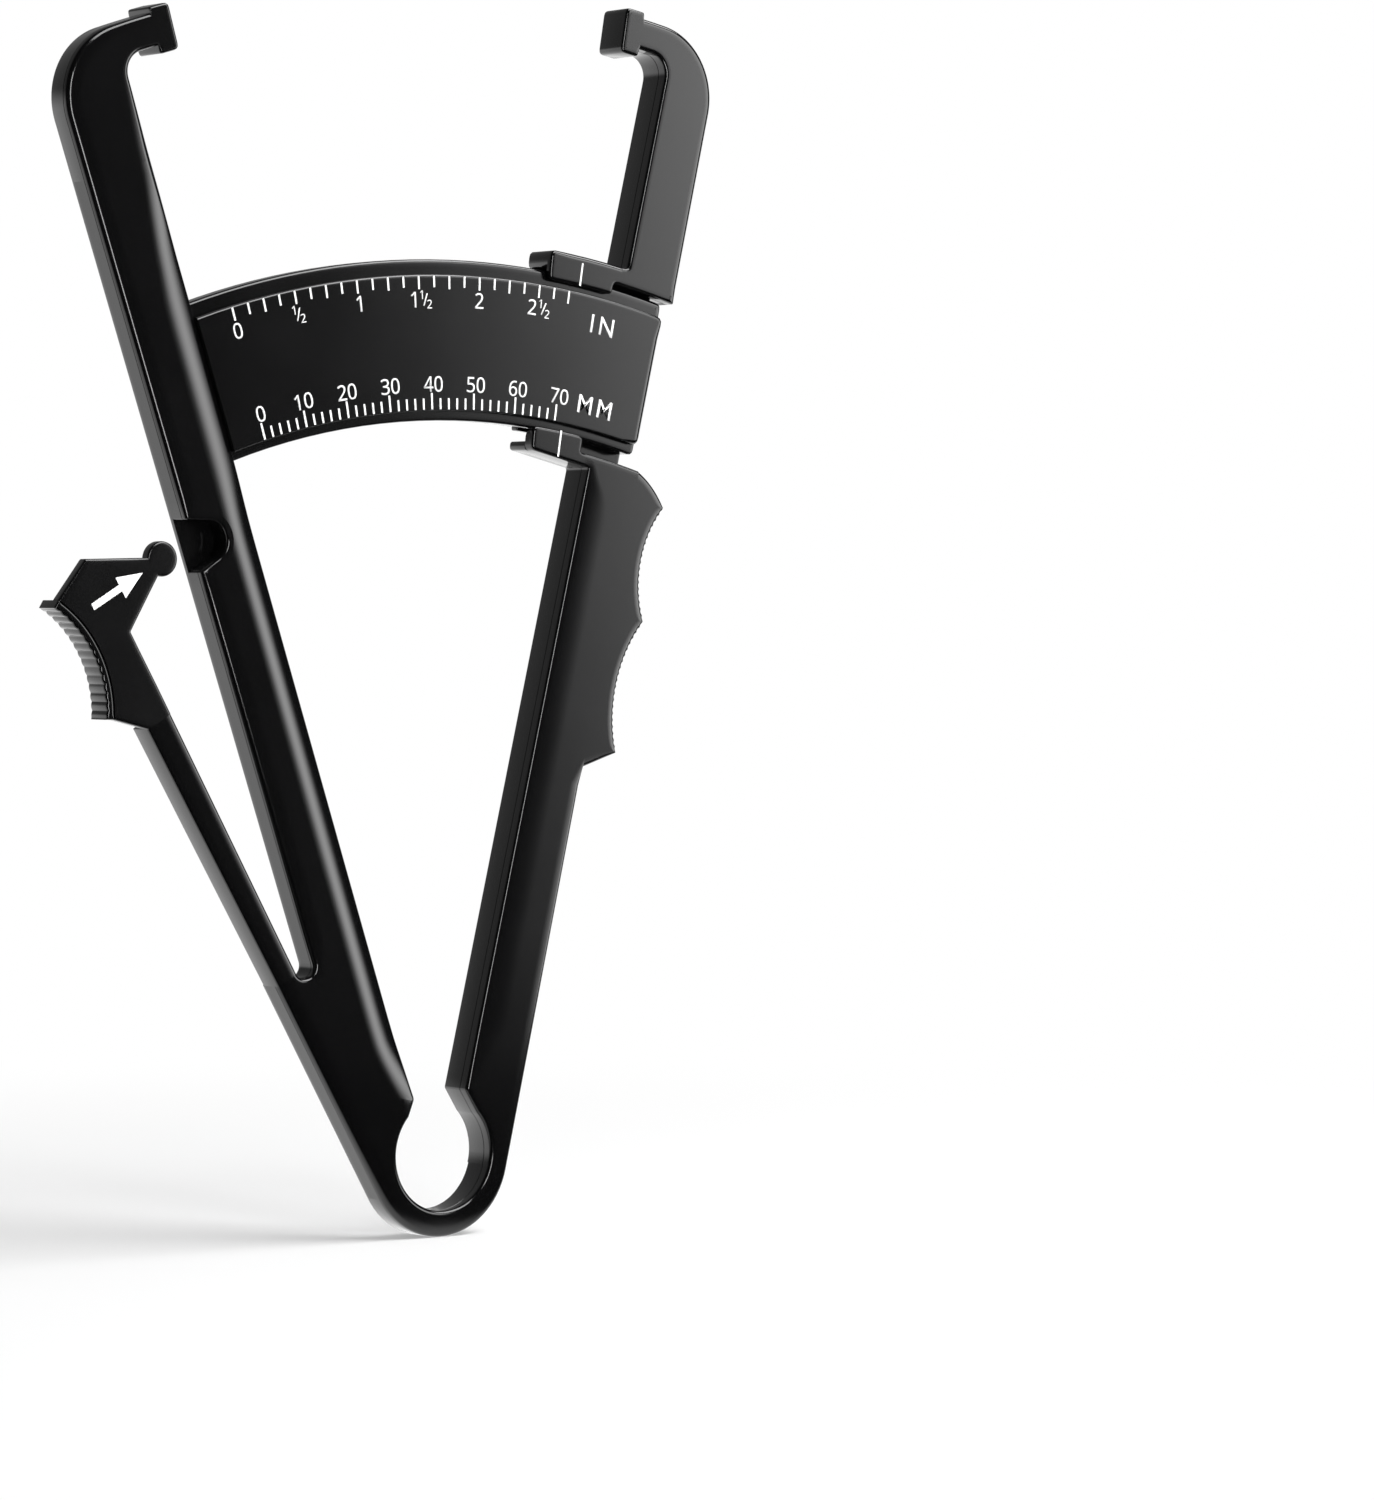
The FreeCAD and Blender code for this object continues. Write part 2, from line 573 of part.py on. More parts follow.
def lever_length(low, high):
    """A length of the trigger lever between two stations along it."""
    across = TRIGGER_LEAN + 90
    outline = [meet(TRIGGER_OUTER, (across, low)), meet(TRIGGER_INNER, (across, low)),
               meet(TRIGGER_INNER, (across, high)), meet(TRIGGER_OUTER, (across, high))]
    lever = slab(outline, FRONT, TRIGGER_BACK)
    ends = [on_edge((across, low)), on_edge((across, high))]
    return soften_front(lever, LEVER_FILLET, ends)


def pad_point(radius, turn):
    """A point of the thumb pad's arc, turned upwards from the middle of the pad."""
    a = math.radians(turn)
    rise, across = PAD_ARC_CENTRE
    place = (rise + radius * math.sin(a), across + radius * math.cos(a))
    return above_heel(TRIGGER_LEAN, place)


def trigger_head():
    """The thin web between the lever, the thumb pad and the ball."""
    back_radius = PAD_ARC_RADIUS + PAD_THICKNESS
    across = TRIGGER_LEAN + 90
    outline = [
        meet(TRIGGER_OUTER, (across, HEAD_HEEL_ALONG)),
        meet(TRIGGER_INNER, (across, HEAD_HEEL_ALONG)),
        meet(TRIGGER_INNER, (across, HEAD_HEEL_ALONG + HEAD_NECK_RISE)),
        above_heel(TRIGGER_LEAN, HEAD_WAIST), above_heel(TRIGGER_LEAN, HEAD_CHIN),
        above_heel(TRIGGER_LEAN, HEAD_CROWN), above_heel(TRIGGER_LEAN, HEAD_PEAK),
        pad_point(back_radius, PAD_HIGH_ANGLE), Via(pad_point(back_radius, 0)),
        pad_point(back_radius, -PAD_LOW_ANGLE),
    ]
    web = slab(outline, FRONT, FRONT + TRIGGER_WEB_DEPTH)
    return web.cut(ball_disc())


def thumb_pad():
    """The curved flange for the thumb, with grip grooves across it."""
    back_radius = PAD_ARC_RADIUS + PAD_THICKNESS
    outline = [
        pad_point(PAD_ARC_RADIUS, -PAD_LOW_ANGLE), pad_point(back_radius, -PAD_LOW_ANGLE),
        Via(pad_point(back_radius, 0)), pad_point(back_radius, PAD_HIGH_ANGLE),
        pad_point(PAD_ARC_RADIUS, PAD_HIGH_ANGLE), Via(pad_point(PAD_ARC_RADIUS, 0)),
    ]
    pad = slab(outline, FRONT, TRIGGER_BACK)
    pitch = (PAD_LOW_ANGLE + PAD_HIGH_ANGLE) / (PAD_GROOVE_COUNT + 1)
    for count in range(1, PAD_GROOVE_COUNT + 1):
        centre = pad_point(PAD_ARC_RADIUS, count * pitch - PAD_LOW_ANGLE)
        pad = pad.cut(disc(centre, PAD_GROOVE_RADIUS, FRONT - 1, BACK))
    return pad


def ball_disc():
    """The round tip that drops into the notch."""
    centre = above_heel(TRIGGER_LEAN, BALL_CENTRE)
    return disc(centre, BALL_RADIUS, FRONT, FRONT + TRIGGER_WEB_DEPTH)


# ---- Printed marks ----
def radial_line(low, high, lean):
    """One printed line between two radii."""
    half = LINE_WIDTH / 2
    outline = [spot(lean, low, -half), spot(lean, low, half),
               spot(lean, high, half), spot(lean, high, -half)]
    return slab(outline, FRONT - PRINT_DEPTH, FRONT)


def mm_graduations():
    """The millimetre scale along the lower edge of the plate's face."""
    lines = []
    for reading in range(0, MM_LAST + 1, MM_STEP):
        length = MM_MINOR_LENGTH if reading % MM_MAJOR_EVERY else MM_MAJOR_LENGTH
        lean = ZERO_LEAN - reading * GRADUATION_ANGLE
        foot = FACE_INNER_RADIUS + MM_FOOT_GAP
        lines.append(radial_line(foot, foot + length, lean))
    return Part.makeCompound(lines)


def inch_graduations():
    """The inch scale, in eighths, along the upper edge of the plate's face."""
    lines = []
    for eighth in range(INCH_LAST_EIGHTH + 1):
        length = INCH_ODD_LENGTH if eighth % 2 else INCH_EVEN_LENGTH
        lean = ZERO_LEAN - eighth * INCH / INCH_DIVISIONS * GRADUATION_ANGLE
        head = FACE_OUTER_RADIUS - INCH_HEAD_GAP
        lines.append(radial_line(head - length, head, lean))
    return Part.makeCompound(lines)


def lower_index_mark():
    """The line on the lower tab that the millimetre scale is read against."""
    return radial_line(LOWER_TAB_ALONG + INDEX_INSET, LOWER_LIP_RADIUS, INDEX_LEAN)


def upper_index_mark():
    """The line on the upper tab that the inch scale is read against."""
    low = RAIL_OUTER_RADIUS - LIP_OVERLAP_OUTER
    return radial_line(low, UPPER_TAB_RADIUS - INDEX_INSET * 2, INDEX_LEAN)


def arrow_mark():
    """The arrow on the trigger head that points at the notch."""
    def corner(across, half):
        return above_heel(TRIGGER_LEAN, (ARROW_RISE + half, across))

    outline = [
        corner(ARROW_TAIL, -ARROW_HALF_SHAFT), corner(ARROW_NECK, -ARROW_HALF_SHAFT),
        corner(ARROW_NECK, -ARROW_HALF_HEAD), corner(ARROW_TIP, 0),
        corner(ARROW_NECK, ARROW_HALF_HEAD), corner(ARROW_NECK, ARROW_HALF_SHAFT),
        corner(ARROW_TAIL, ARROW_HALF_SHAFT),
    ]
    return slab(outline, FRONT - PRINT_DEPTH, FRONT)


def save(name, shape):
    """Move a shape from the hinge axis to the caliper's own frame and write it."""
    shape.translate(FreeCAD.Vector(HINGE_X, 0, HINGE_Z))
    shape.exportStep(os.path.join("parts", name + ".step"))


def build():
    """Make every node of the caliper."""
    left = left_moulding()
    lower = right_lower_moulding()
    upper = right_upper_moulding()
    left_jaw_side = band(LEFT_LEAN, JAW_CUT_ALONG, NECK_OUTER_RADIUS * 2)
    right_jaw_side = band(-RIGHT_LEAN, JAW_CUT_ALONG, NECK_OUTER_RADIUS * 2)
    grip_side = beside(RIGHT_OUTER, 1, GRIP_LOW_ALONG - RIGHT_ARM_DEPTH, UPPER_BLOCK_RADIUS)
    tab_side = beside(TAB_JOINT, -1, LOWER_TAB_ALONG - RIGHT_ARM_DEPTH, JAW_CUT_ALONG)
    web_lean = ring_lean(RING_RIGHT_TANGENT)
    ring_joint = on_edge((web_lean, offset_of(RING_CENTRE, web_lean)))
    pad_joint = on_edge((RIGHT_PAD_LEAN, 0))
    lower_arm = soften_front(lower.cut(tab_side), RIGHT_FILLET, [ring_joint, on_tab])
    upper_arm = soften_front(upper.cut(tab_side), RIGHT_FILLET, [pad_joint, on_tab])
    return {
        "left_arm": left.cut(left_jaw_side),
        "left_jaw": left.common(left_jaw_side),
        "left_contact_pad": contact_pad(LEFT_CONTACT_LEAN, LEFT_PAD_LEAN),
        "scale_plate": scale_plate(),
        "mm_graduations": mm_graduations(),
        "inch_graduations": inch_graduations(),
        "ring_flexure": ring_flexure(),
        "right_lower_arm": lower_arm.cut(grip_side),
        "finger_grip": lower_arm.common(grip_side),
        "lower_index_tab": lower.common(tab_side),
        "slide_bridge": slide_bridge(),
        "upper_index_tab": upper.common(tab_side),
        "right_upper_arm": upper_arm.cut(right_jaw_side),
        "right_jaw": upper_arm.common(right_jaw_side),
        "right_contact_pad": contact_pad(-RIGHT_CONTACT_LEAN, RIGHT_PAD_LEAN),
        "lower_index_mark": lower_index_mark(),
        "upper_index_mark": upper_index_mark(),
        "trigger_flexure": lever_length(TRIGGER_ROOT_ALONG, TRIGGER_TIP_ALONG),
        "trigger_lever": lever_length(TRIGGER_TIP_ALONG, HEAD_HEEL_ALONG),
        "trigger_head": trigger_head(),
        "thumb_pad": thumb_pad(),
        "detent_ball": ball_disc(),
        "arrow_mark": arrow_mark(),
    }


os.makedirs("parts", exist_ok=True)
for node_name, node_shape in build().items():
    save(node_name, node_shape)
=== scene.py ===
import math
import os

import bmesh
import bpy
import numpy as np
from bpy.props import FloatProperty, FloatVectorProperty, IntProperty, PointerProperty
from mathutils import Euler, Matrix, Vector
from mathutils.geometry import delaunay_2d_cdt


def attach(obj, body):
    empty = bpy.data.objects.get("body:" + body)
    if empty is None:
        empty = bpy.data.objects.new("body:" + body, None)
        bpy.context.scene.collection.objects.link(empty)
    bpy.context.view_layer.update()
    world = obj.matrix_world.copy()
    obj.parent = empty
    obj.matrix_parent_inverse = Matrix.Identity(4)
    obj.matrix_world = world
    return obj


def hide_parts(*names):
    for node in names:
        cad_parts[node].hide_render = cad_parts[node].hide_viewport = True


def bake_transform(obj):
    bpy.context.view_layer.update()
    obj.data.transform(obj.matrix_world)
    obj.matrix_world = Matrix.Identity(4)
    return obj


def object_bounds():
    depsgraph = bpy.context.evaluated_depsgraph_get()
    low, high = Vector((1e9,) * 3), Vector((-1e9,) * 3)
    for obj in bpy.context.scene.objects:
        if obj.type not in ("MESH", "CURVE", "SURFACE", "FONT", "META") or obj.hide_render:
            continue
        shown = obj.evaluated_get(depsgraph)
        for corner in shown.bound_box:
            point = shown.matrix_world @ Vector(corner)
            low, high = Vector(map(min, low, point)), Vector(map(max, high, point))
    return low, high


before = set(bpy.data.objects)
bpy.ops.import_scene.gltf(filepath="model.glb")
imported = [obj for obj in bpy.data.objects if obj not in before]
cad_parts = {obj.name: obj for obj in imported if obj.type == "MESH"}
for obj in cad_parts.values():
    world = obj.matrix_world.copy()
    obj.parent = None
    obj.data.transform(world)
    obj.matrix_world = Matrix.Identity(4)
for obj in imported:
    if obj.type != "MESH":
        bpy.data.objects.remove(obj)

CAD_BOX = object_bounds()

bl_info = {
    "name": "Skinfold Caliper",
    "version": (1, 0, 0),
    "blender": (4, 5, 0),
    "location": "View3D > Sidebar > Caliper",
    "description": "Builds the mouldings, printed scale and studio of a sprung skinfold caliper",
    "category": "Object",
}

# Outlines are complex numbers in millimetres about the hinge axis: x is real, z is imaginary.
# A lean is an angle in degrees to the left of +Z. An edge is a lean and an offset to the right.
MM = 0.001
HINGE = 2.4539 - 8.7889j

# Depths behind the common front plane
FRONT = 0.0
ARM_BACK = 5.2
LEFT_BACK = 4.0
TRIGGER_BACK = 3.85
WEB_BACK = 1.5
RAIL_FRONT = 1.1
PLATE_BACK = 3.6
LIP_BACK = 0.8
BRIDGE_FRONT = 3.9
NOTCH_FLOOR = 3.2
TAB_LIP_BACK = 1.7
PRINT_FRONT = -0.04
LEFT_SEAM = 1.0
RIGHT_SEAM = 1.6

# Ring
HOLE_RADIUS = 7.5
RING_RADIUS = 10.75
RING_CENTRE = -HINGE
RING_OUTER_CENTRE = RING_CENTRE - 0.31 - 0.18j
MOUTH_LEAN = 47.0

# Arms
LEFT_INNER = (18.4, -1.5)
LEFT_OUTER = (18.8, -10.5)
BODY_LEAN = 29.7
RIGHT_INNER = (-13.8, -3.0)
RIGHT_OUTER_LEAN = -13.35
LEFT_MOUTH = 17.6
RIGHT_MOUTH = 16.8
RIGHT_STEP_OUT = 0.6

# How far along an arm its front edge changes at the mouth, at the plate and at a tab's foot
FADE_AT_MOUTH = 9.0
FADE_BELOW_PLATE = 9.0
FADE_ABOVE_PLATE = 6.0
FADE_AT_FOOT = 4.0

# Radii about the hinge axis
JAW_RADIUS = 160.4
ARM_TOP = 103.2
TAB_FOOT = 101.4
RAIL_INNER = 105.1
FACE_INNER = 106.4
FACE_OUTER = 124.2
RAIL_OUTER = 126.2
NECK_INNER = 158.3
NECK_OUTER = 162.5
JAW_CUT = 145.0
LOWER_BLOCK = 104.8
LOWER_LIP = 105.4
UPPER_BLOCK = 126.5
UPPER_LIP = 124.95
UPPER_TAB = 129.0

# Jaws
LEFT_CONTACT = 15.92
RIGHT_CONTACT = -9.78
CONTACT_PAD_WIDTH = 3.0
PAD_ANGLE = math.degrees(CONTACT_PAD_WIDTH / JAW_RADIUS)
PAD_STEP_IN = 1.1
PAD_STEP_OUT = 0.8
CROOK = 2.8
LEFT_SHOULDER = 9.5
RIGHT_SHOULDER = 9.6

# Slide and plate ends
PLATE_END = (-13.6, 4.85)
TAB_END = (-13.8, -4.7)
TAB_JOINT = (-13.8, -3.85)
CLOSING_ANGLE = 25.7
STOP_GAP = 0.3
TAB_STEP_WIDTH = 2.6
TAB_STEP_DROP = 1.4

# Finger grip tips: along and across the right arm
GRIP_FOOT = 62.3
GRIP_LOW = (65.4, 10.6)
GRIP_MID = (83.6, 10.9)
GRIP_TOP = (99.3, 10.6)
LOWER_SCALLOP = 19.6
UPPER_SCALLOP = 15.5
GRIP_BULGE = 0.45

# Trigger: along and across the lever
TRIGGER_LEAN = 30.4
TRIGGER_INNER = (29.4, -5.89)
TRIGGER_OUTER_LEAN = 30.5
SLOT_RADIUS = 1.5
FLEXURE_LENGTH = 9.0
HEEL = 80.6
NECK = 84.7
WAIST = (92.5, -4.35)
CHIN = (96.86, 3.4)
CROWN = (98.87, 3.3)
PEAK = (103.8, -5.5)
PAD_CENTRE = (93.3, -26.1)
PAD_RADIUS = 15.5
PAD_THICKNESS = 1.2
PAD_LOW_TURN = -33.0
PAD_HIGH_TURN = 29.0
BALL = (98.06, 4.36)
BALL_RADIUS = 2.25
NOTCH = (96.8, -8.7)
NOTCH_RADIUS = 2.65
NOTCH_FOOT_LEAN = 33.0

# Scale
ZERO_LEAN = 16.6
DEGREES_PER_MM = math.degrees(1 / JAW_RADIUS)
MM_PER_INCH = 25.4
LAST_READING = 70
NUMBER_EVERY = 10
WHOLE_INCHES = 3
MM_NUMERAL_RADIUS = 109.85
MM_NUMERAL_TURN = -0.15
INCH_NUMERAL_RADIUS = 120.9
UNIT_LETTERS = (
    ("unit_m_first", "M", -10.84, 109.55),
    ("unit_m_second", "M", -12.56, 109.55),
    ("unit_i", "I", -10.42, 120.45),
    ("unit_n", "N", -11.59, 120.45),
)
STROKE_WEIGHT = 0.002

# Half inches: shares of the number's height, and shifts in mm from the middle
SMALL_DIGIT = 0.56
SLASH = 0.78
SMALL_DIGIT_SHIFT = 0.62
WHOLE_SHIFT = 0.95
WHOLE_TURN = 0.45

# Camera and studio
CAMERA_PLACE = (-0.426805, -0.602997, 0.073892)
CAMERA_AZIMUTH = 37.7615
CAMERA_ELEVATION = 1.613
LENS = 135.139
SENSOR = 36.0
CLIP = (0.01, 50)
MIDDLE_HEIGHT = 0.07
FLOOR_RADIUS = 0.3
FLOOR_SIDES = 96
FLOOR_ROUGHNESS = 0.6
FLOOR_SPECULAR = 0.2

# Soft boxes: name, place as azimuth, elevation and distance, width and height, radiance, roll
LAMPS = (
    ("key_softbox", (47.8, 10, 1.0), (0.56, 0.76), 5.9, 0.19),
    ("front_strip", (-12, -7, 0.8), (0.18, 0.9), 12.0, 0.0),
    ("top_softbox", (45, 57, 0.9), (1.0, 0.5), 8.0, 0.0),
)

# Ramps: where each one starts and ends, and its values there
FLOOR_FADE = (0.06, FLOOR_RADIUS * 0.95, 0.3, 1.0)
# The floor's painted reflection: the emission strength that reflections see, rising with depth
FLOOR_REFLECTION_GLOW = (-0.018, 0.0, 0.0, 1.55)
SKY_BY_DEPTH = (-0.05, 0.3, 0.02, 1.5)
SKY_BY_HEIGHT = (-0.1, 0.2, 1.0, 0.18)


# ---- Sizes and colours that a user would change ----
class CaliperSizes(bpy.types.PropertyGroup):
    """Edge sizes and print sizes: lengths in millimetres and the slope in degrees."""
    edge: FloatProperty(
        name="Edge", description="Radius of an ordinary front edge",
        default=0.5, min=0.1, max=1.0)
    broad_edge: FloatProperty(
        name="Broad edge", description="Radius of the left arm's inner front edge",
        default=0.75, min=0.15, max=1.0)
    crown_width: FloatProperty(
        name="Crown width", description="How far the left arm's front falls away to its edge",
        default=4.4, min=0.5, max=6.0)
    crown_slope: FloatProperty(
        name="Crown slope", description="Slope of the left arm's front where it meets the edge",
        default=22.0, min=1.0, max=35.0)
    ridge_count: IntProperty(
        name="Thumb ridges", description="Number of ridges across the thumb pad",
        default=15, min=4, max=24)
    ridge_depth: FloatProperty(
        name="Ridge depth", description="Depth of the grooves of the thumb pad",
        default=0.15, min=0.05, max=0.6)
    grip_pitch: FloatProperty(
        name="Grip pitch", description="Spacing of the fine ridges in the finger scallops",
        default=0.9, min=0.4, max=2.0)
    grip_depth: FloatProperty(
        name="Grip depth", description="Depth of the fine ridges in the finger scallops",
        default=0.17, min=0.02, max=0.4)
    numeral_height: FloatProperty(
        name="Numeral height", description="Height of the printed numbers",
        default=2.05, min=1.0, max=3.0)
    unit_height: FloatProperty(
        name="Unit height", description="Height of the printed unit letters",
        default=2.45, min=1.0, max=4.0)


class CaliperFinish(bpy.types.PropertyGroup):
    """Colours and gloss."""
    plastic: FloatVectorProperty(
        name="Plastic", description="Colour of the moulded plastic",
        subtype="COLOR", size=3, default=(0.0028, 0.0028, 0.003), min=0, max=1)
    print_ink: FloatVectorProperty(
        name="Print", description="Colour of the printed marks",
        subtype="COLOR", size=3, default=(0.86, 0.86, 0.86), min=0, max=1)
    floor: FloatVectorProperty(
        name="Floor", description="Colour of the studio floor",
        subtype="COLOR", size=3, default=(0.88, 0.88, 0.88), min=0, max=1)
    gloss: FloatProperty(
        name="Roughness", description="Roughness of the moulded plastic",
        subtype="FACTOR", default=0.12, min=0.02, max=1.0)


# ---- Plane geometry ----
# An arc's fewest steps, and its widest step in radians
FEWEST_STEPS = 4
WIDEST_STEP = 0.12


def turn(lean):
    """The unit vector along a lean's rightward axis: e to the power i times the lean."""
    return np.exp(1j * np.radians(lean))


def spot(lean, along, across):
    """The point that lies along and across a line of this lean through the hinge axis."""
    return (across + 1j * along) * turn(lean)


def offset_of(point, lean):
    """How far right of the hinge axis a line of this lean through the point passes."""
    return (point * turn(-lean)).real


def along_of(point, lean):
    """How far along a line of this lean the point lies."""
    return (point * turn(-lean)).imag


def lean_of(point):
    """The lean of the ray from the hinge axis through a point."""
    return math.degrees(np.angle(point / 1j))


def meet(edge_a, edge_b):
    """Where two edges cross, from their leans and offsets."""
    angle = math.radians(edge_b[0] - edge_a[0])
    along = (edge_a[1] * math.cos(angle) - edge_b[1]) / -math.sin(angle)
    return spot(edge_a[0], along, edge_a[1])


def across_edge(lean, along):
    """The line square to a lean at this station."""
    return (lean + 90, along)


def on_radius(edge, radius):
    """Where an edge crosses the circle of this radius about the hinge axis."""
    return spot(edge[0], math.sqrt(radius ** 2 - edge[1] ** 2), edge[1])


def line(start, end, step=2.5):
    """Points at even spacing from start up to, not including, end."""
    count = max(1, math.ceil(abs(end - start) / step))
    return start + (end - start) * np.arange(count) / count


def sweep(centre, start, end, step=0.35):
    """Points of the shorter arc about centre from start up to, not including, end."""
    angle = np.angle((end - centre) / (start - centre))
    radius = abs(start - centre)
    count = max(FEWEST_STEPS, math.ceil(abs(angle) * radius / step),
                math.ceil(abs(angle) / WIDEST_STEP))
    share = np.arange(count) / count
    reach = radius + (abs(end - centre) - radius) * share
    return centre + reach * np.exp(1j * (np.angle(start - centre) + angle * share))


def bow(start, end, rise, step=0.35):
    """Points of the arc from start up to end that bulges to the right of its chord by rise."""
    half = abs(end - start) / 2
    radius = (half ** 2 + rise ** 2) / (2 * abs(rise))
    rightward = (end - start) / abs(end - start) / 1j
    centre = (start + end) / 2 + rightward * math.copysign(1, rise) * (abs(rise) - radius)
    return sweep(centre, start, end, step)


def rounding(edge, radius, circle, side, outward):
    """The arc's centre and tangent points where an edge runs into a circle about the hinge.

    side is +1 where the centre lies right of the edge, and outward is +1 where it lies
    outside the circle.
    """
    centre = on_radius((edge[0], edge[1] + side * radius), circle + outward * radius)
    on_edge = spot(edge[0], along_of(centre, edge[0]), edge[1])
    return centre, on_edge, centre * circle / abs(centre)


def on_circle(centre, radius, point):
    """Where the ray from a circle's centre through a point meets the circle."""
    return centre + (point - centre) / abs(point - centre) * radius


BODY_OUTER = (BODY_LEAN, offset_of(RING_OUTER_CENTRE, BODY_LEAN) - RING_RADIUS)
RIGHT_OUTER = (RIGHT_OUTER_LEAN, offset_of(RING_OUTER_CENTRE, RIGHT_OUTER_LEAN) + RING_RADIUS)
UPPER_OUTER = (RIGHT_OUTER_LEAN, RIGHT_OUTER[1] + RIGHT_STEP_OUT)
LEFT_TANGENT = RING_OUTER_CENTRE - turn(BODY_LEAN) * RING_RADIUS
RIGHT_TANGENT = RING_OUTER_CENTRE + turn(RIGHT_OUTER_LEAN) * RING_RADIUS
LEFT_HOLE = on_circle(RING_CENTRE, HOLE_RADIUS, LEFT_TANGENT)
RIGHT_HOLE = on_circle(RING_CENTRE, HOLE_RADIUS, RIGHT_TANGENT)
LEFT_CUT_INNER = spot(LEFT_INNER[0], JAW_CUT, LEFT_INNER[1])
LEFT_CUT_OUTER = meet(LEFT_OUTER, across_edge(LEFT_INNER[0], JAW_CUT))
RIGHT_CUT_INNER = meet(RIGHT_INNER, across_edge(RIGHT_INNER[0], JAW_CUT))
RIGHT_CUT_OUTER = meet(UPPER_OUTER, across_edge(RIGHT_INNER[0], JAW_CUT))
GRIP_START = meet(RIGHT_OUTER, across_edge(RIGHT_INNER[0], GRIP_FOOT))
GRIP_END = on_radius(RIGHT_OUTER, ARM_TOP)
SLOT_CENTRE = meet((TRIGGER_INNER[0], TRIGGER_INNER[1] + SLOT_RADIUS),
                   (LEFT_OUTER[0], LEFT_OUTER[1] - SLOT_RADIUS))
ROOT_ALONG = along_of(SLOT_CENTRE, TRIGGER_LEAN)
ROOT = across_edge(TRIGGER_LEAN, ROOT_ALONG)
BODY_ROOT = meet(BODY_OUTER, ROOT)
TRIGGER_OUTER = (TRIGGER_OUTER_LEAN, offset_of(BODY_ROOT, TRIGGER_OUTER_LEAN))
BALL_POINT = spot(TRIGGER_LEAN, *BALL)
THUMB_CENTRE = spot(TRIGGER_LEAN, *PAD_CENTRE)


def stop_lean(radius):
    """Where a tab ends, clear of the left arm at the closing stop."""
    return lean_of(on_radius(LEFT_INNER, radius)) - CLOSING_ANGLE - math.degrees(STOP_GAP / radius)


def trigger_width(along):
    """The inner and outer points of the lever at a station along it."""
    cut = across_edge(TRIGGER_LEAN, along)
    return meet(TRIGGER_INNER, cut), meet(TRIGGER_OUTER, cut)


def thumb_point(radius, angle):
    """A point of the thumb pad's arc, turned upwards from the middle of the pad."""
    swing = np.exp(1j * np.radians(angle))
    return (PAD_CENTRE[1] + 1j * PAD_CENTRE[0] + radius * swing) * turn(TRIGGER_LEAN)


THUMB_BACK = PAD_RADIUS + PAD_THICKNESS
BACK_LOW, BACK_MIDDLE, BACK_HIGH = (
    thumb_point(THUMB_BACK, angle) for angle in (PAD_LOW_TURN, 0, PAD_HIGH_TURN))


def circle_entry(start, end):
    """Where the straight edge from start towards end enters the ball's circle."""
    way = (end - start) / abs(end - start)
    foot = ((BALL_POINT - start) * way.conjugate()).real
    miss = ((BALL_POINT - start) * way.conjugate()).imag
    return start + way * (foot - math.sqrt(BALL_RADIUS ** 2 - miss ** 2))


# ---- Moulded shells ----
# An edge finish is the front edge's radius in mm, the slope in degrees that the crown has
# there, and the crown's width in mm. JOINT marks a cut face against another piece.
JOINT = (0.0, 0.0, 0.0)
FADED = (1.0, 5.0, 2.2)
LEFT_HOLE_EDGE = (0.6, 2.0, 1.2)
LEFT_MOUTH_EDGE = (0.6, 8.0, 2.8)
NOTCH_EDGE = (0.4, 3.0, 0.9)
SLOT_EDGE = (0.55, 2.0, 1.0)
CROOK_START_EDGE = (0.6, 3.0, 1.3)
CROOK_EDGE = (0.6, 2.0, 1.1)
NECK_INNER_EDGE = (0.5, 2.0, 1.0)
NECK_OUTER_EDGE = (0.6, 3.0, 1.4)
PAD_EDGE = (0.4, 2.0, 0.8)
FACE_LOW_EDGE = (0.12, 1.0, 0.4)
FACE_TOP_EDGE = (0.42, 2.0, 0.7)
FACE_END_EDGE = (0.85, 3.0, 1.15)
RAIL_LOW_EDGE = (0.3, 2.0, 0.7)
RAIL_TOP_EDGE = (0.5, 3.0, 1.0)
HOLE_EDGE = (0.6, 2.0, 0.9)
RING_FOOT_EDGE = (0.6, 3.0, 1.5)
ARM_TOP_EDGE = (0.4, 2.0, 0.9)
ARM_TOP_CORNER = (0.3, 2.0, 0.5)
ARM_TOP_INNER_EDGE = (0.35, 4.0, 1.2)
TAB_EDGE = (0.42, 1.0, 0.75)
TAB_TOP_EDGE = (0.7, 1.0, 1.0)
BRIDGE_EDGE = (0.2, 1.0, 0.5)
UPPER_FOOT_EDGE = (0.35, 1.5, 0.8)
UPPER_FOOT_CORNER = (0.6, 1.0, 0.9)
LEVER_EDGE = (0.45, 6.0, 1.3)
WEB_EDGE = (0.38, 3.0, 1.0)
THUMB_EDGE = (0.4, 8.0, 0.5)

# Finishes whose first number is added to the ordinary edge's radius
LEFT_OUTER_EDGE = (0.3, 6.0, 2.4)
LEFT_SHOULDER_EDGE = (0.3, 6.0, 2.2)
RIGHT_INNER_EDGE = (0.0, 3.0, 4.2)
RIGHT_MOUTH_EDGE = (0.0, 3.0, 1.0)
RIGHT_OUTER_EDGE = (0.0, 3.0, 1.6)
GRIP_EDGE = (0.0, 4.0, 1.1)
UPPER_INNER_EDGE = (0.0, 1.5, 1.0)
UPPER_OUTER_EDGE = (0.2, 2.0, 1.2)

# Finishes of the left arm: the radius, and shares of the crown's slope and width
BESIDE_PLATE = (0.3, 0.8, 1.0)
ABOVE_PLATE = (0.6, 0.75, 0.85)

# Limits of the outline rules, in mm, radians and ratios
SAME_POINT = 1e-3
ARC_TOLERANCE = 0.03
CORNER_TURN = 0.2
WIDEST_TURN = 2.4
CORNER_SHARE = 0.4
MITRE_FLOOR = 0.3
PARALLEL = 0.05
LONGEST_SLIDE = 1.6

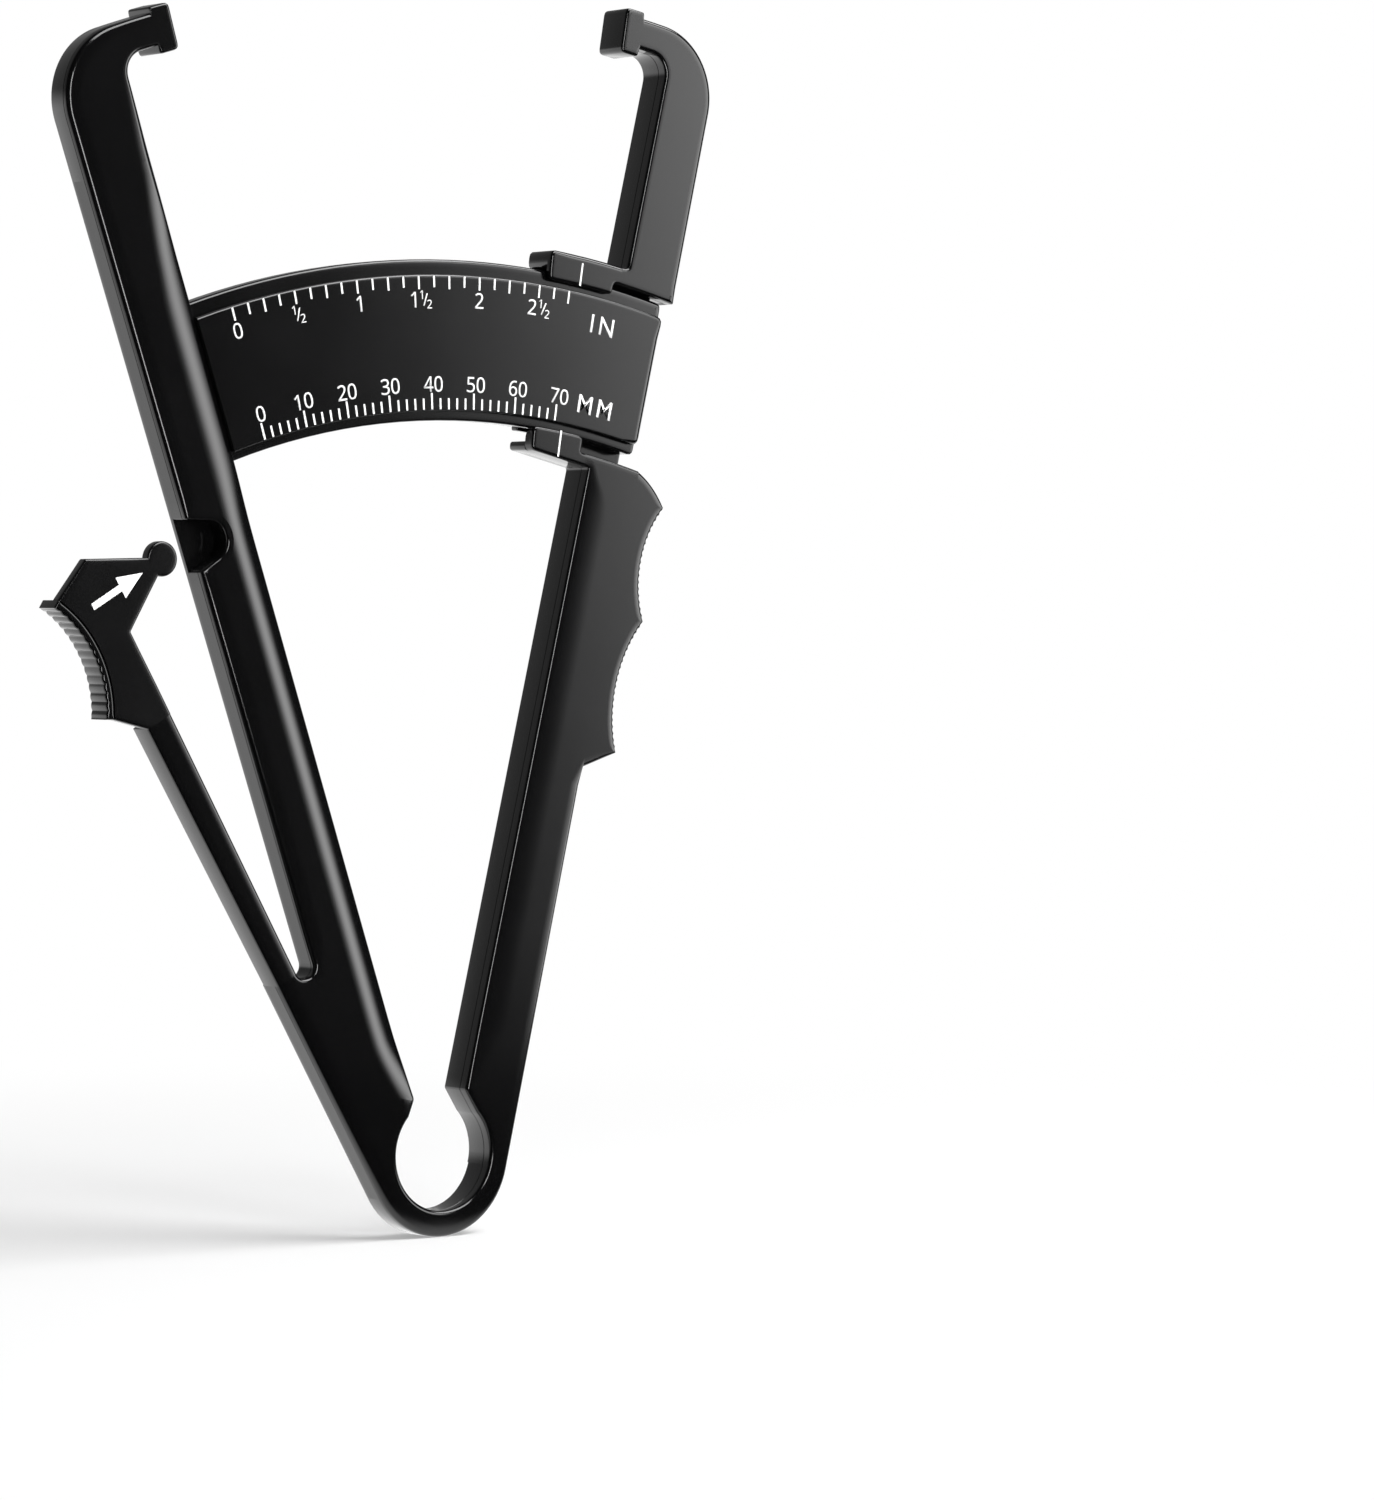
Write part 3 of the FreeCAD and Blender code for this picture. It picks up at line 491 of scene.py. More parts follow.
# Rows of a shell: counts, and lengths in mm. The seam is insets and shifts in depth.
BACK_STEPS = 4
ARC_STEPS = 7
CROWN_STEPS = 7
BACK_CAP_STEP = 0.05
FRONT_CAP_STEP = 0.04
LEAST_CROWN = 0.02
HIDDEN_CROWN = 0.2
POCKET_CROWN = 0.3
SEAM = ((0, 0.07), (0.05, 0.02), (0.05, -0.02), (0, -0.07))
SEAM_CLEARANCE = 0.12
RIDGE_FADE = 0.7

# Clean-up of a mesh, in metres and degrees
DEGENERATE = 1e-7
DOUBLES = DEGENERATE * 20
SHARP_ANGLE = 38


class Rim:
    """A closed outline with an inward direction and an edge finish at each point.

    Each run is (points, finish), and its finish holds from its first point to the next
    run's first point. At each corner the inward direction v satisfies v.n1 = f1 and
    v.n2 = f2, with n the edges' inward normals and f 0 on a joint and 1 elsewhere, so that
    insets stay parallel to the edges and slide along the cut faces. Corners are rounded
    over ease mm, and finishes and directions are smoothed over blend and turning mm.
    """

    def __init__(self, *runs, ease=0.2, blend=1.5, turning=0.3):
        points = np.concatenate([np.atleast_1d(np.asarray(p, dtype=complex)) for p, _ in runs])
        finish = np.concatenate([np.broadcast_to(f, (np.size(p), 3)) for p, f in runs])
        keep = abs(np.roll(points, -1) - points) > SAME_POINT
        points, finish = points[keep], finish[keep]
        if np.sum((points.conj() * np.roll(points, -1)).imag) < 0:
            points = points[::-1]
            finish = np.roll(finish[::-1], -1, axis=0)
        points, finish = self.eased(points, finish, ease)
        edge = np.roll(points, -1) - points
        length = abs(edge)
        normal = 1j * edge / length
        before = np.roll(normal, 1)
        free = (finish.max(axis=1) > 0).astype(float)
        free_before = np.roll(free, 1)
        mitre = (normal + before) / np.maximum(MITRE_FLOOR, 1 + (normal * before.conj()).real)
        cross = (before.conj() * normal).imag
        cross = np.where(abs(cross) < PARALLEL, 1.0, cross)
        slide = (1j * free * before - 1j * free_before * normal) / cross
        single = free * normal + free_before * before
        slide = np.where(abs(slide) < LONGEST_SLIDE, slide, single)
        self.points = points
        self.ridge = np.zeros(len(points), dtype=complex)
        inward = np.where(free == free_before, free * mitre, slide)
        inner = (free > 0) & (free_before > 0)
        smooth = self.blended(inward[:, None], length, turning, abs(inward) > 0)[:, 0]
        self.inward = np.where(inner, smooth, inward)
        share = (free + free_before)[:, None]
        mean = finish * free[:, None] + np.roll(finish, 1, axis=0) * free_before[:, None]
        mean = mean / np.maximum(1, share)
        self.radius, self.slope, self.crown = self.blended(mean, length, blend, share[:, 0] > 0).T

    def cut_ridges(self, centre, radius, start, pitch, depth, way):
        """Rounded ridges with sharp grooves on the arc about this centre, from the point start.

        Each point moves along the radius by way * depth (1 - |sin(pi s / pitch)|), where s is
        its distance from start along the arc. The ridges fade out at both ends of the arc.
        """
        spoke = self.points - centre
        on_arc = abs(abs(spoke) - radius) < ARC_TOLERANCE
        distance = abs(np.angle(spoke / (start - centre))) * radius
        last = distance[on_arc].max()
        fade = np.clip(np.minimum(distance, last - distance) / (pitch / 2), 0, 1)
        groove = depth * fade * (1 - abs(np.sin(np.pi * distance / pitch)))
        self.ridge += np.where(on_arc, way * groove * spoke / abs(spoke), 0)

    @staticmethod
    def eased(points, finish, ease):
        """Round each corner between two free edges with a parabola of four points."""
        after = np.roll(points, -1) - points
        before = points - np.roll(points, 1)
        angle = abs(np.angle(after / before))
        free = finish.max(axis=1) > 0
        corner = (angle > CORNER_TURN) & free & np.roll(free, 1)
        reach = ease * np.tan(np.minimum(angle, WIDEST_TURN) / 2)
        reach = np.minimum(reach, CORNER_SHARE * np.minimum(abs(after), abs(before)))
        reach = np.where(corner, reach, 0)
        first = points - before / abs(before) * reach
        last = points + after / abs(after) * reach
        share = np.array([0, 1 / 3, 2 / 3, 1])[None, :]
        bend = (first[:, None] * (1 - share) ** 2 + 2 * points[:, None] * share * (1 - share)
                + last[:, None] * share ** 2)
        keep = np.repeat(corner[:, None], 4, axis=1)
        keep[:, 0] = True
        return bend[keep], np.repeat(finish[:, None, :], 4, axis=1)[keep]

    @staticmethod
    def blended(finish, length, spread, mask):
        """The mean of the finish along the rim, weighted by a bell curve of this spread in mm."""
        weight = (length + np.roll(length, 1)) / 2 * mask
        station = np.concatenate([[0], np.cumsum(length)[:-1]])
        gap = abs(station[:, None] - station[None, :])
        gap = np.minimum(gap, length.sum() - gap)
        bell = np.exp(-0.5 * (gap / spread) ** 2) * weight[None, :]
        return bell @ finish / np.maximum(1e-9, bell.sum(axis=1, keepdims=True))


def squared(rim, crown=HIDDEN_CROWN):
    """The rim with a square front edge, for a part that lies behind another."""
    rim.radius[:] = 0
    rim.slope[:] = 0
    rim.crown[:] = crown
    return rim


def taper(points, start, end):
    """A run whose finish goes evenly from start to end."""
    return points, np.linspace(start, end, len(points))


def over_edge(finish):
    """A finish whose first number is added to the ordinary edge's radius."""
    return (sizes().edge + finish[0], *finish[1:])


def crowned(radius, slope_share, width_share):
    """A finish with this radius and these shares of the crown's slope and width."""
    return (radius, sizes().crown_slope * slope_share, sizes().crown_width * width_share)


def shell_rows(rim, front, back, back_edge=0.25, seam=None):
    """The insets and depths of a shell's rows, from the middle of its back to its front.

    A quarter circle at the back edge, a straight wall with a shallow seam, an arc of the
    rim's radius that turns from the wall to the crown's slope, and a parabola that levels
    out at the crown's width: depth = sagitta (1 - t) squared.
    """
    radius, slope, crown = rim.radius, np.radians(rim.slope), rim.crown
    arc_end = np.pi / 2 - slope
    arc_inset = radius * (1 - np.cos(arc_end))
    crown = np.maximum(crown, arc_inset + LEAST_CROWN)
    sagitta = 0.5 * np.tan(slope) * (crown - arc_inset)
    arc_start = front + sagitta + radius * np.sin(arc_end)
    zero = 0 * radius
    rows = [(zero + back_edge + BACK_CAP_STEP, zero + back)]
    for angle in np.linspace(0, np.pi / 2, BACK_STEPS if back_edge else 1):
        rows.append((zero + back_edge * (1 - np.sin(angle)),
                     zero + back - back_edge * (1 - np.cos(angle))))
    if seam is not None:
        level = np.maximum(front + seam, arc_start + SEAM_CLEARANCE)
        rows += [(zero + inset, level + shift) for inset, shift in SEAM]
    for share in np.linspace(0, 1, ARC_STEPS + 1):
        bend = arc_end * share
        rows.append((radius * (1 - np.cos(bend)), arc_start - radius * np.sin(bend)))
    for share in np.arange(1, CROWN_STEPS + 1) / CROWN_STEPS:
        rows.append((arc_inset + (crown - arc_inset) * share,
                     front + sagitta * (1 - share) ** 2))
    rows.append((crown + FRONT_CAP_STEP, zero + front))
    return rows


def corners_of(places, depths):
    """Corners x, y, z in metres, from places in the outline's plane and their depths."""
    return np.stack([places.real, depths, places.imag], axis=-1).reshape(-1, 3) * MM


def shell_mesh(name, parts):
    """One mesh of closed shells. Each part is (rim, rows), and the place of a row's point is
    point + inset * inward, at the row's depth. Ridges fade out over the first RIDGE_FADE mm."""
    corners, faces = [], []
    start = 0
    for rim, rows in parts:
        size = len(rim.points)
        places = np.stack([
            rim.points + rim.inward * inset + rim.ridge * np.clip(1 - inset / RIDGE_FADE, 0, 1)
            for inset, _ in rows]) + HINGE
        depths = np.stack([depth for _, depth in rows])
        corners.append(corners_of(places, depths))
        index = start + np.arange(len(rows) * size).reshape(len(rows), size)
        start += len(rows) * size
        for row in (0, -1):
            triangles, extra = capped(places[row], index[row], start)
            faces += triangles
            corners.append(corners_of(extra, np.full(len(extra), depths[row].mean())))
            start += len(extra)
        low, high = index[:-1], index[1:]
        quads = [low, np.roll(low, -1, axis=1), np.roll(high, -1, axis=1), high]
        faces += np.stack(quads, axis=-1).reshape(-1, 4).tolist()
    return solid_mesh(name, np.concatenate(corners), faces)


def capped(outline, index, start):
    """Triangles that close an outline, and the points where the outline crosses itself."""
    plane = np.stack([outline.real, outline.imag], axis=-1).tolist()
    ring = [list(range(len(plane)))]
    keep_inside, merge = 1, 1e-6
    spots, _, triangles, origins, _, _ = delaunay_2d_cdt(plane, [], ring, keep_inside, merge)
    added = [order for order, origin in enumerate(origins) if not origin]
    name_of = {order: start + count for count, order in enumerate(added)}
    name_of.update({order: int(index[origin[0]]) for order, origin in enumerate(origins) if origin})
    extra = np.array([complex(*spots[order]) for order in added], dtype=complex)
    return [[name_of[corner] for corner in triangle] for triangle in triangles], extra


def solid_mesh(name, corners, faces):
    """A mesh with its doubles merged, its faces outward and its corners sharp."""
    mesh = bpy.data.meshes.new(name)
    mesh.from_pydata(corners.tolist(), [], faces)
    work = bmesh.new()
    work.from_mesh(mesh)
    bmesh.ops.remove_doubles(work, verts=work.verts, dist=DOUBLES)
    bmesh.ops.dissolve_degenerate(work, edges=work.edges, dist=DEGENERATE)
    bmesh.ops.recalc_face_normals(work, faces=work.faces)
    work.to_mesh(mesh)
    work.free()
    mesh.shade_smooth()
    mesh.set_sharp_from_angle(angle=math.radians(SHARP_ANGLE))
    return mesh


def place(name, mesh, material, body=None, nodes=()):
    """Put a piece in the scene, on its body, in place of its CAD nodes."""
    mesh.materials.clear()
    mesh.materials.append(material)
    piece = bpy.data.objects.new(name, mesh)
    bpy.context.scene.collection.objects.link(piece)
    if body:
        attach(piece, body)
    if nodes:
        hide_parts(*nodes)
    return piece


def moulding(node, body, parts, material, also=()):
    """One moulded piece that stands for a CAD node, and for others that run into it."""
    mesh = shell_mesh(node + "_moulding", parts)
    return place(node + "_moulding", mesh, material, body, [node, *also])


# ---- Finishes ----
WEB_ROUGHER = 0.06
PRINT_ROUGHNESS = 0.55


def feed(tree, node, inputs):
    """Give a node its inputs: an output socket is linked, any other value is written."""
    for socket, value in inputs.items():
        if isinstance(value, bpy.types.NodeSocket):
            tree.links.new(value, node.inputs[socket])
        else:
            node.inputs[socket].default_value = value
    return node


def calculate(tree, operation, *values):
    """The result of a math node."""
    node = tree.nodes.new("ShaderNodeMath")
    node.operation = operation
    return feed(tree, node, dict(enumerate(values))).outputs[0]


def smooth_ramp(tree, value, start, end, low, high):
    """Low up to the start, high from the end on, and a smooth step between them."""
    node = tree.nodes.new("ShaderNodeMapRange")
    node.interpolation_type = "SMOOTHSTEP"
    feed(tree, node, {"Value": value, "From Min": start, "From Max": end,
                      "To Min": low, "To Max": high})
    return node.outputs["Result"]


def coordinates(tree, vector):
    """The outputs X, Y and Z of a vector."""
    return feed(tree, tree.nodes.new("ShaderNodeSeparateXYZ"), {0: vector}).outputs


def node_group_moulded_surface():
    """A group that gives a moulded surface its faint grain, flow marks and handling marks.

    Roughness = base + amount * (patch - half). Height = fine grain. Colour = base, a quarter
    of it multiplied by the patch.
    """
    group = bpy.data.node_groups.new("moulded_surface", "ShaderNodeTree")
    face = group.interface
    for label, value in (("Base Roughness", 0.25), ("Grain Scale", 9000.0), ("Patch Amount", 0.05)):
        socket = face.new_socket(label, in_out="INPUT", socket_type="NodeSocketFloat")
        socket.default_value = value
    face.new_socket("Base Colour", in_out="INPUT", socket_type="NodeSocketColor")
    face.new_socket("Colour", in_out="OUTPUT", socket_type="NodeSocketColor")
    face.new_socket("Roughness", in_out="OUTPUT", socket_type="NodeSocketFloat")
    face.new_socket("Height", in_out="OUTPUT", socket_type="NodeSocketFloat")
    new = group.nodes.new
    inlet, outlet = new("NodeGroupInput").outputs, new("NodeGroupOutput")
    on_piece = new("ShaderNodeTexCoord").outputs["Object"]
    grain = feed(group, new("ShaderNodeTexNoise"), {
        "Vector": on_piece, "Scale": inlet["Grain Scale"], "Detail": 2.0})
    patch = feed(group, new("ShaderNodeTexNoise"), {
        "Vector": on_piece, "Scale": 90.0, "Detail": 4.0})
    centred = calculate(group, "SUBTRACT", patch.outputs["Fac"], 0.5)
    roughness = calculate(group, "MULTIPLY_ADD", centred, inlet["Patch Amount"],
                          inlet["Base Roughness"])
    shade = new("ShaderNodeMix")
    shade.data_type = "RGBA"
    shade.blend_type = "MULTIPLY"
    feed(group, shade, {"Factor": 0.25, "A": inlet["Base Colour"], "B": patch.outputs["Fac"]})
    feed(group, outlet, {"Colour": shade.outputs["Result"], "Roughness": roughness,
                         "Height": grain.outputs["Fac"]})
    return group


def surface_material(name, colour, roughness, grain_height, patch, grain_scale=9000.0):
    """A Principled surface whose colour, roughness and grain come from the shared group."""
    material = bpy.data.materials.new(name)
    material.use_nodes = True
    tree = material.node_tree
    surface = tree.nodes.new("ShaderNodeGroup")
    surface.node_tree = (bpy.data.node_groups.get("moulded_surface")
                         or node_group_moulded_surface())
    feed(tree, surface, {"Base Colour": (*colour, 1.0), "Base Roughness": roughness,
                         "Patch Amount": patch, "Grain Scale": grain_scale})
    bump = feed(tree, tree.nodes.new("ShaderNodeBump"), {
        "Distance": 0.0001, "Strength": grain_height, "Height": surface.outputs["Height"]})
    feed(tree, tree.nodes["Principled BSDF"], {
        "Base Color": surface.outputs["Colour"], "Roughness": surface.outputs["Roughness"],
        "Normal": bump.outputs["Normal"]})
    return material


def finish(name):
    """A material by name, made when it is first asked for."""
    found = bpy.data.materials.get(name)
    if found:
        return found
    chosen = bpy.context.scene.caliper_finish
    if name == "moulded_black":
        return surface_material(name, chosen.plastic, chosen.gloss, grain_height=0.02, patch=0.05)
    if name == "web_black":
        return surface_material(name, chosen.plastic, chosen.gloss + WEB_ROUGHER,
                                grain_height=0.05, patch=0.08)
    return surface_material(name, chosen.print_ink, PRINT_ROUGHNESS,
                            grain_height=0.1, patch=0.15, grain_scale=14000.0)


def sizes():
    """The sizes set in the panel."""
    return bpy.context.scene.caliper_sizes


# ---- Outlines of the left half ----
def left_arm_rim(with_notch):
    """The left arm from the ring to the jaw's joint, with or without the pocket for the ball."""
    outer = over_edge(LEFT_OUTER_EDGE)
    broad = crowned(sizes().broad_edge, 1.0, 1.0)
    beside_plate, above = crowned(*BESIDE_PLATE), crowned(*ABOVE_PLATE)
    hole_end = RING_CENTRE + spot(MOUTH_LEAN, HOLE_RADIUS, 0)
    mouth = spot(LEFT_INNER[0], LEFT_MOUTH, LEFT_INNER[1])
    plate_low = on_radius(LEFT_INNER, RAIL_INNER)
    plate_high = on_radius(LEFT_INNER, RAIL_OUTER)
    upwards = turn(LEFT_INNER[0]) * 1j
    above_mouth = mouth + upwards * FADE_AT_MOUTH
    below_plate = plate_low - upwards * FADE_BELOW_PLATE
    above_plate = plate_high + upwards * FADE_ABOVE_PLATE
    slot_right = SLOT_CENTRE + turn(LEFT_OUTER[0]) * SLOT_RADIUS
    root_inner = meet(TRIGGER_INNER, ROOT)
    outside = [(line(LEFT_CUT_OUTER, slot_right), outer)]
    if with_notch:
        centre = spot(LEFT_INNER[0], *NOTCH)
        top, right = centre + 1j * NOTCH_RADIUS, centre + NOTCH_RADIUS
        foot = centre + spot(NOTCH_FOOT_LEAN - 180, NOTCH_RADIUS, 0)
        foot_edge = (NOTCH_FOOT_LEAN + 90, offset_of(foot, NOTCH_FOOT_LEAN + 90))
        notch_top = meet(LEFT_OUTER, (90, top.imag))
        notch_foot = meet(LEFT_OUTER, foot_edge)
        outside = [
            (line(LEFT_CUT_OUTER, notch_top), outer),
            (line(notch_top, top, step=0.6), NOTCH_EDGE),
            (sweep(centre, top, right, step=0.25), NOTCH_EDGE),
            (sweep(centre, right, foot, step=0.25), NOTCH_EDGE),
            (line(foot, notch_foot, step=0.6), NOTCH_EDGE),
            (line(notch_foot, slot_right), outer),
        ]
    return Rim(
        (LEFT_TANGENT, JOINT),
        (sweep(RING_CENTRE, LEFT_HOLE, hole_end), LEFT_HOLE_EDGE),
        (line(hole_end, mouth, step=2.0), LEFT_HOLE_EDGE),
        taper(line(mouth, above_mouth, step=1.0), LEFT_MOUTH_EDGE, broad),
        (line(above_mouth, below_plate), broad),
        taper(line(below_plate, plate_low, step=1.5), broad, beside_plate),
        (line(plate_low, plate_high), beside_plate),
        taper(line(plate_high, above_plate, step=1.5), beside_plate, above),
        taper(line(above_plate, LEFT_CUT_INNER, step=1.5), above, FADED),
        (LEFT_CUT_INNER, JOINT),
        *outside,
        (sweep(SLOT_CENTRE, slot_right, root_inner), SLOT_EDGE),
        (root_inner, JOINT),
        (line(BODY_ROOT, LEFT_TANGENT), outer),
        ease=0.8,
    )


def left_jaw_rim():
    """The left jaw from the arm's joint round the shoulder to the contact pad."""
    pad_lean = LEFT_CONTACT + PAD_ANGLE
    crook_centre, crook_arm, crook_neck = rounding(LEFT_INNER, CROOK, NECK_INNER, 1, -1)
    turn_centre, turn_arm, turn_neck = rounding(LEFT_OUTER, LEFT_SHOULDER, NECK_OUTER, 1, -1)
    neck_in, neck_out = spot(pad_lean, NECK_INNER, 0), spot(pad_lean, NECK_OUTER, 0)
    return Rim(
        taper(line(LEFT_CUT_INNER, crook_arm, step=1.0), FADED, CROOK_START_EDGE),
        (sweep(crook_centre, crook_arm, crook_neck), CROOK_EDGE),
        (sweep(0, crook_neck, neck_in), NECK_INNER_EDGE),
        (neck_in, JOINT),
        (sweep(0, neck_out, turn_neck), NECK_OUTER_EDGE),
        (sweep(turn_centre, turn_neck, turn_arm), over_edge(LEFT_SHOULDER_EDGE)),
        (line(turn_arm, LEFT_CUT_OUTER), over_edge(LEFT_OUTER_EDGE)),
        (LEFT_CUT_OUTER, JOINT),
    )


def contact_pad_rim(contact, far):
    """A jaw's pad: a short curved bar that stands proud of the neck on both sides."""
    inner, outer = NECK_INNER - PAD_STEP_IN, NECK_OUTER + PAD_STEP_OUT
    return Rim(
        (spot(contact, inner, 0), PAD_EDGE),
        (spot(far, inner, 0), PAD_EDGE),
        (spot(far, NECK_INNER, 0), JOINT),
        (spot(far, NECK_OUTER, 0), PAD_EDGE),
        (spot(far, outer, 0), PAD_EDGE),
        (spot(contact, outer, 0), PAD_EDGE),
        ease=0.75, blend=0.3,
    )


def plate_rim(inner, outer, low_edge, end_edge, high_edge, ease, blend):
    """A slab of the plate from the left arm to the plate's end, between two radii."""
    low, high = on_radius(LEFT_INNER, inner), on_radius(LEFT_INNER, outer)
    low_end, high_end = on_radius(PLATE_END, inner), on_radius(PLATE_END, outer)
    return Rim(
        (sweep(0, low, low_end, step=3.0), low_edge),
        (line(low_end, high_end, step=3.0), end_edge),
        (sweep(0, high_end, high, step=3.0), high_edge),
        (high, JOINT),
        ease=ease, blend=blend,
    )


def scale_face_rim():
    """The raised face of the plate."""
    return plate_rim(FACE_INNER, FACE_OUTER, FACE_LOW_EDGE, FACE_END_EDGE, FACE_TOP_EDGE,
                     ease=1.1, blend=0.9)


def scale_rail_rim():
    """The two rails behind the face, drawn as one slab."""
    return plate_rim(RAIL_INNER, RAIL_OUTER, RAIL_LOW_EDGE, RAIL_LOW_EDGE, RAIL_TOP_EDGE,
                     ease=0.8, blend=0.5)


def ring_rim():
    """The lower half of the ring, between the two arms."""
    bottom = RING_OUTER_CENTRE - 1j * RING_RADIUS
    hole_bottom = on_circle(RING_CENTRE, HOLE_RADIUS, (LEFT_HOLE + RIGHT_HOLE) / 2)
    left, right = over_edge(LEFT_OUTER_EDGE), over_edge(RIGHT_OUTER_EDGE)
    return Rim(
        taper(sweep(RING_OUTER_CENTRE, LEFT_TANGENT, bottom), left, RING_FOOT_EDGE),
        taper(sweep(RING_OUTER_CENTRE, bottom, RIGHT_TANGENT), RING_FOOT_EDGE, right),
        (RIGHT_TANGENT, JOINT),
        (sweep(RING_CENTRE, RIGHT_HOLE, hole_bottom), HOLE_EDGE),
        (sweep(RING_CENTRE, hole_bottom, LEFT_HOLE), HOLE_EDGE),
        (LEFT_HOLE, JOINT),
    )


# ---- Outlines of the right half ----
def right_lower_arm_rim():
    """The right arm from the ring to its top under the plate."""
    inner = over_edge(RIGHT_INNER_EDGE)
    foot = across_edge(RIGHT_INNER[0], TAB_FOOT)
    near_top = meet(RIGHT_INNER, across_edge(RIGHT_INNER[0], TAB_FOOT - FADE_AT_FOOT))
    top_in = on_radius(TAB_JOINT, ARM_TOP)
    hole_end = RING_CENTRE + spot(-MOUTH_LEAN, HOLE_RADIUS, 0)
    mouth = spot(RIGHT_INNER[0], RIGHT_MOUTH, RIGHT_INNER[1])
    above_mouth = mouth + turn(RIGHT_INNER[0]) * 1j * FADE_AT_MOUTH
    return Rim(
        (line(RIGHT_TANGENT, GRIP_START), over_edge(RIGHT_OUTER_EDGE)),
        (GRIP_START, JOINT),
        (sweep(0, GRIP_END, top_in), ARM_TOP_EDGE),
        (top_in, JOINT),
        (meet(TAB_JOINT, foot), ARM_TOP_CORNER),
        taper(line(meet(RIGHT_INNER, foot), near_top, step=0.8), ARM_TOP_INNER_EDGE, inner),
        (line(near_top, above_mouth), inner),
        taper(line(above_mouth, mouth, step=1.5), inner, over_edge(RIGHT_MOUTH_EDGE)),
        (line(mouth, hole_end, step=2.0), HOLE_EDGE),
        (sweep(RING_CENTRE, hole_end, RIGHT_HOLE), HOLE_EDGE),
        (RIGHT_HOLE, JOINT),
        ease=0.5,
    )


def finger_grip_rim():
    """The two ridged finger scallops."""
    edge = over_edge(GRIP_EDGE)
    tips = [spot(RIGHT_INNER[0], *tip) for tip in (GRIP_LOW, GRIP_MID, GRIP_TOP)]
    scallops = []
    for start, end, radius in zip(tips, tips[1:], (LOWER_SCALLOP, UPPER_SCALLOP)):
        half = (end - start) / 2
        sink = math.sqrt(radius ** 2 - abs(half) ** 2)
        scallops.append((start + half - 1j * half / abs(half) * sink, radius, start, end))
    rim = Rim(
        (line(GRIP_START, tips[0]), edge),
        *[(sweep(centre, start, end, step=0.09), edge) for centre, _, start, end in scallops],
        (bow(tips[2], GRIP_END, GRIP_BULGE), edge),
        (GRIP_END, JOINT),
        ease=0.3, turning=0.8,
    )
    for centre, radius, start, _ in scallops:
        rim.cut_ridges(centre, radius, start, sizes().grip_pitch, sizes().grip_depth, -1)
    return rim


def lower_tab_rim(radius, stepped):
    """The tab under the plate, up to this radius. stepped leaves room behind its lip."""
    foot = across_edge(RIGHT_INNER[0], TAB_FOOT)
    end = stop_lean(LOWER_BLOCK)
    joint_low, joint_top = meet(TAB_JOINT, foot), on_radius(TAB_JOINT, ARM_TOP)
    step_low, step_high = on_radius(TAB_END, ARM_TOP), on_radius(TAB_END, radius)
    far, foot_end = spot(end, radius, 0), meet((end, 0), foot)
    tip = [(sweep(0, step_high, far, step=3.0), TAB_EDGE), (far, TAB_EDGE)]
    if stepped:
        near = end - math.degrees(TAB_STEP_WIDTH / LOWER_BLOCK)
        low = LOWER_BLOCK - TAB_STEP_DROP
        tip = [
            (sweep(0, step_high, spot(near, radius, 0), step=3.0), TAB_EDGE),
            (spot(near, radius, 0), TAB_EDGE),
            (spot(near, low, 0), TAB_EDGE),
            (spot(end, low, 0), TAB_EDGE),
        ]
    return Rim(
        (joint_low, JOINT),
        (joint_top, TAB_EDGE),
        (line(step_low, step_high), TAB_EDGE),
        *tip,
        (line(foot_end, joint_low), TAB_EDGE),
        ease=0.8, blend=0.3,
    )


def upper_tab_rim(low):
    """The tab above the plate, down to this radius."""
    end = stop_lean(UPPER_TAB)
    foot, joint_foot = on_radius(TAB_END, UPPER_BLOCK), on_radius(TAB_JOINT, UPPER_BLOCK)
    joint_top, top = on_radius(TAB_JOINT, UPPER_TAB), spot(end, UPPER_TAB, 0)
    left, right = spot(end, low, 0), on_radius(TAB_END, low)
    return Rim(
        (sweep(0, left, right, step=3.0), TAB_EDGE),
        (right, TAB_EDGE),
        (foot, TAB_EDGE),
        (joint_foot, JOINT),
        (sweep(0, joint_top, top, step=3.0), TAB_TOP_EDGE),
        (top, TAB_EDGE),
        ease=0.9, blend=0.4,
    )


def bridge_rim():
    """The strap behind the plate."""
    start = spot(stop_lean(LOWER_BLOCK), LOWER_BLOCK, 0)
    end = spot(stop_lean(UPPER_BLOCK), UPPER_BLOCK, 0)
    ledge = on_radius(TAB_END, LOWER_BLOCK)
    right_low, right_high = on_radius(PLATE_END, ARM_TOP), on_radius(PLATE_END, UPPER_BLOCK)
    return Rim(
        (sweep(0, start, ledge, step=1.0), BRIDGE_EDGE),
        (ledge, BRIDGE_EDGE),
        (sweep(0, on_radius(TAB_END, ARM_TOP), right_low, step=1.0), BRIDGE_EDGE),
        (line(right_low, right_high), BRIDGE_EDGE),
        (sweep(0, right_high, end, step=1.0), BRIDGE_EDGE),
        (line(end, start), BRIDGE_EDGE),
        ease=0.3, blend=0.4,
    )


def right_upper_arm_rim():
    """The right arm above the plate, up to the jaw's joint."""
    foot_in, foot_out = on_radius(TAB_JOINT, UPPER_BLOCK), on_radius(UPPER_OUTER, UPPER_BLOCK)
    corner = on_radius(RIGHT_INNER, UPPER_TAB)
    return Rim(
        (sweep(0, foot_in, foot_out), UPPER_FOOT_EDGE),
        (line(foot_out, RIGHT_CUT_OUTER), over_edge(UPPER_OUTER_EDGE)),
        (RIGHT_CUT_OUTER, JOINT),
        (line(RIGHT_CUT_INNER, corner), over_edge(UPPER_INNER_EDGE)),
        (corner, UPPER_FOOT_CORNER),
        (on_radius(TAB_JOINT, UPPER_TAB), JOINT),
        ease=0.55, blend=0.8,
    )


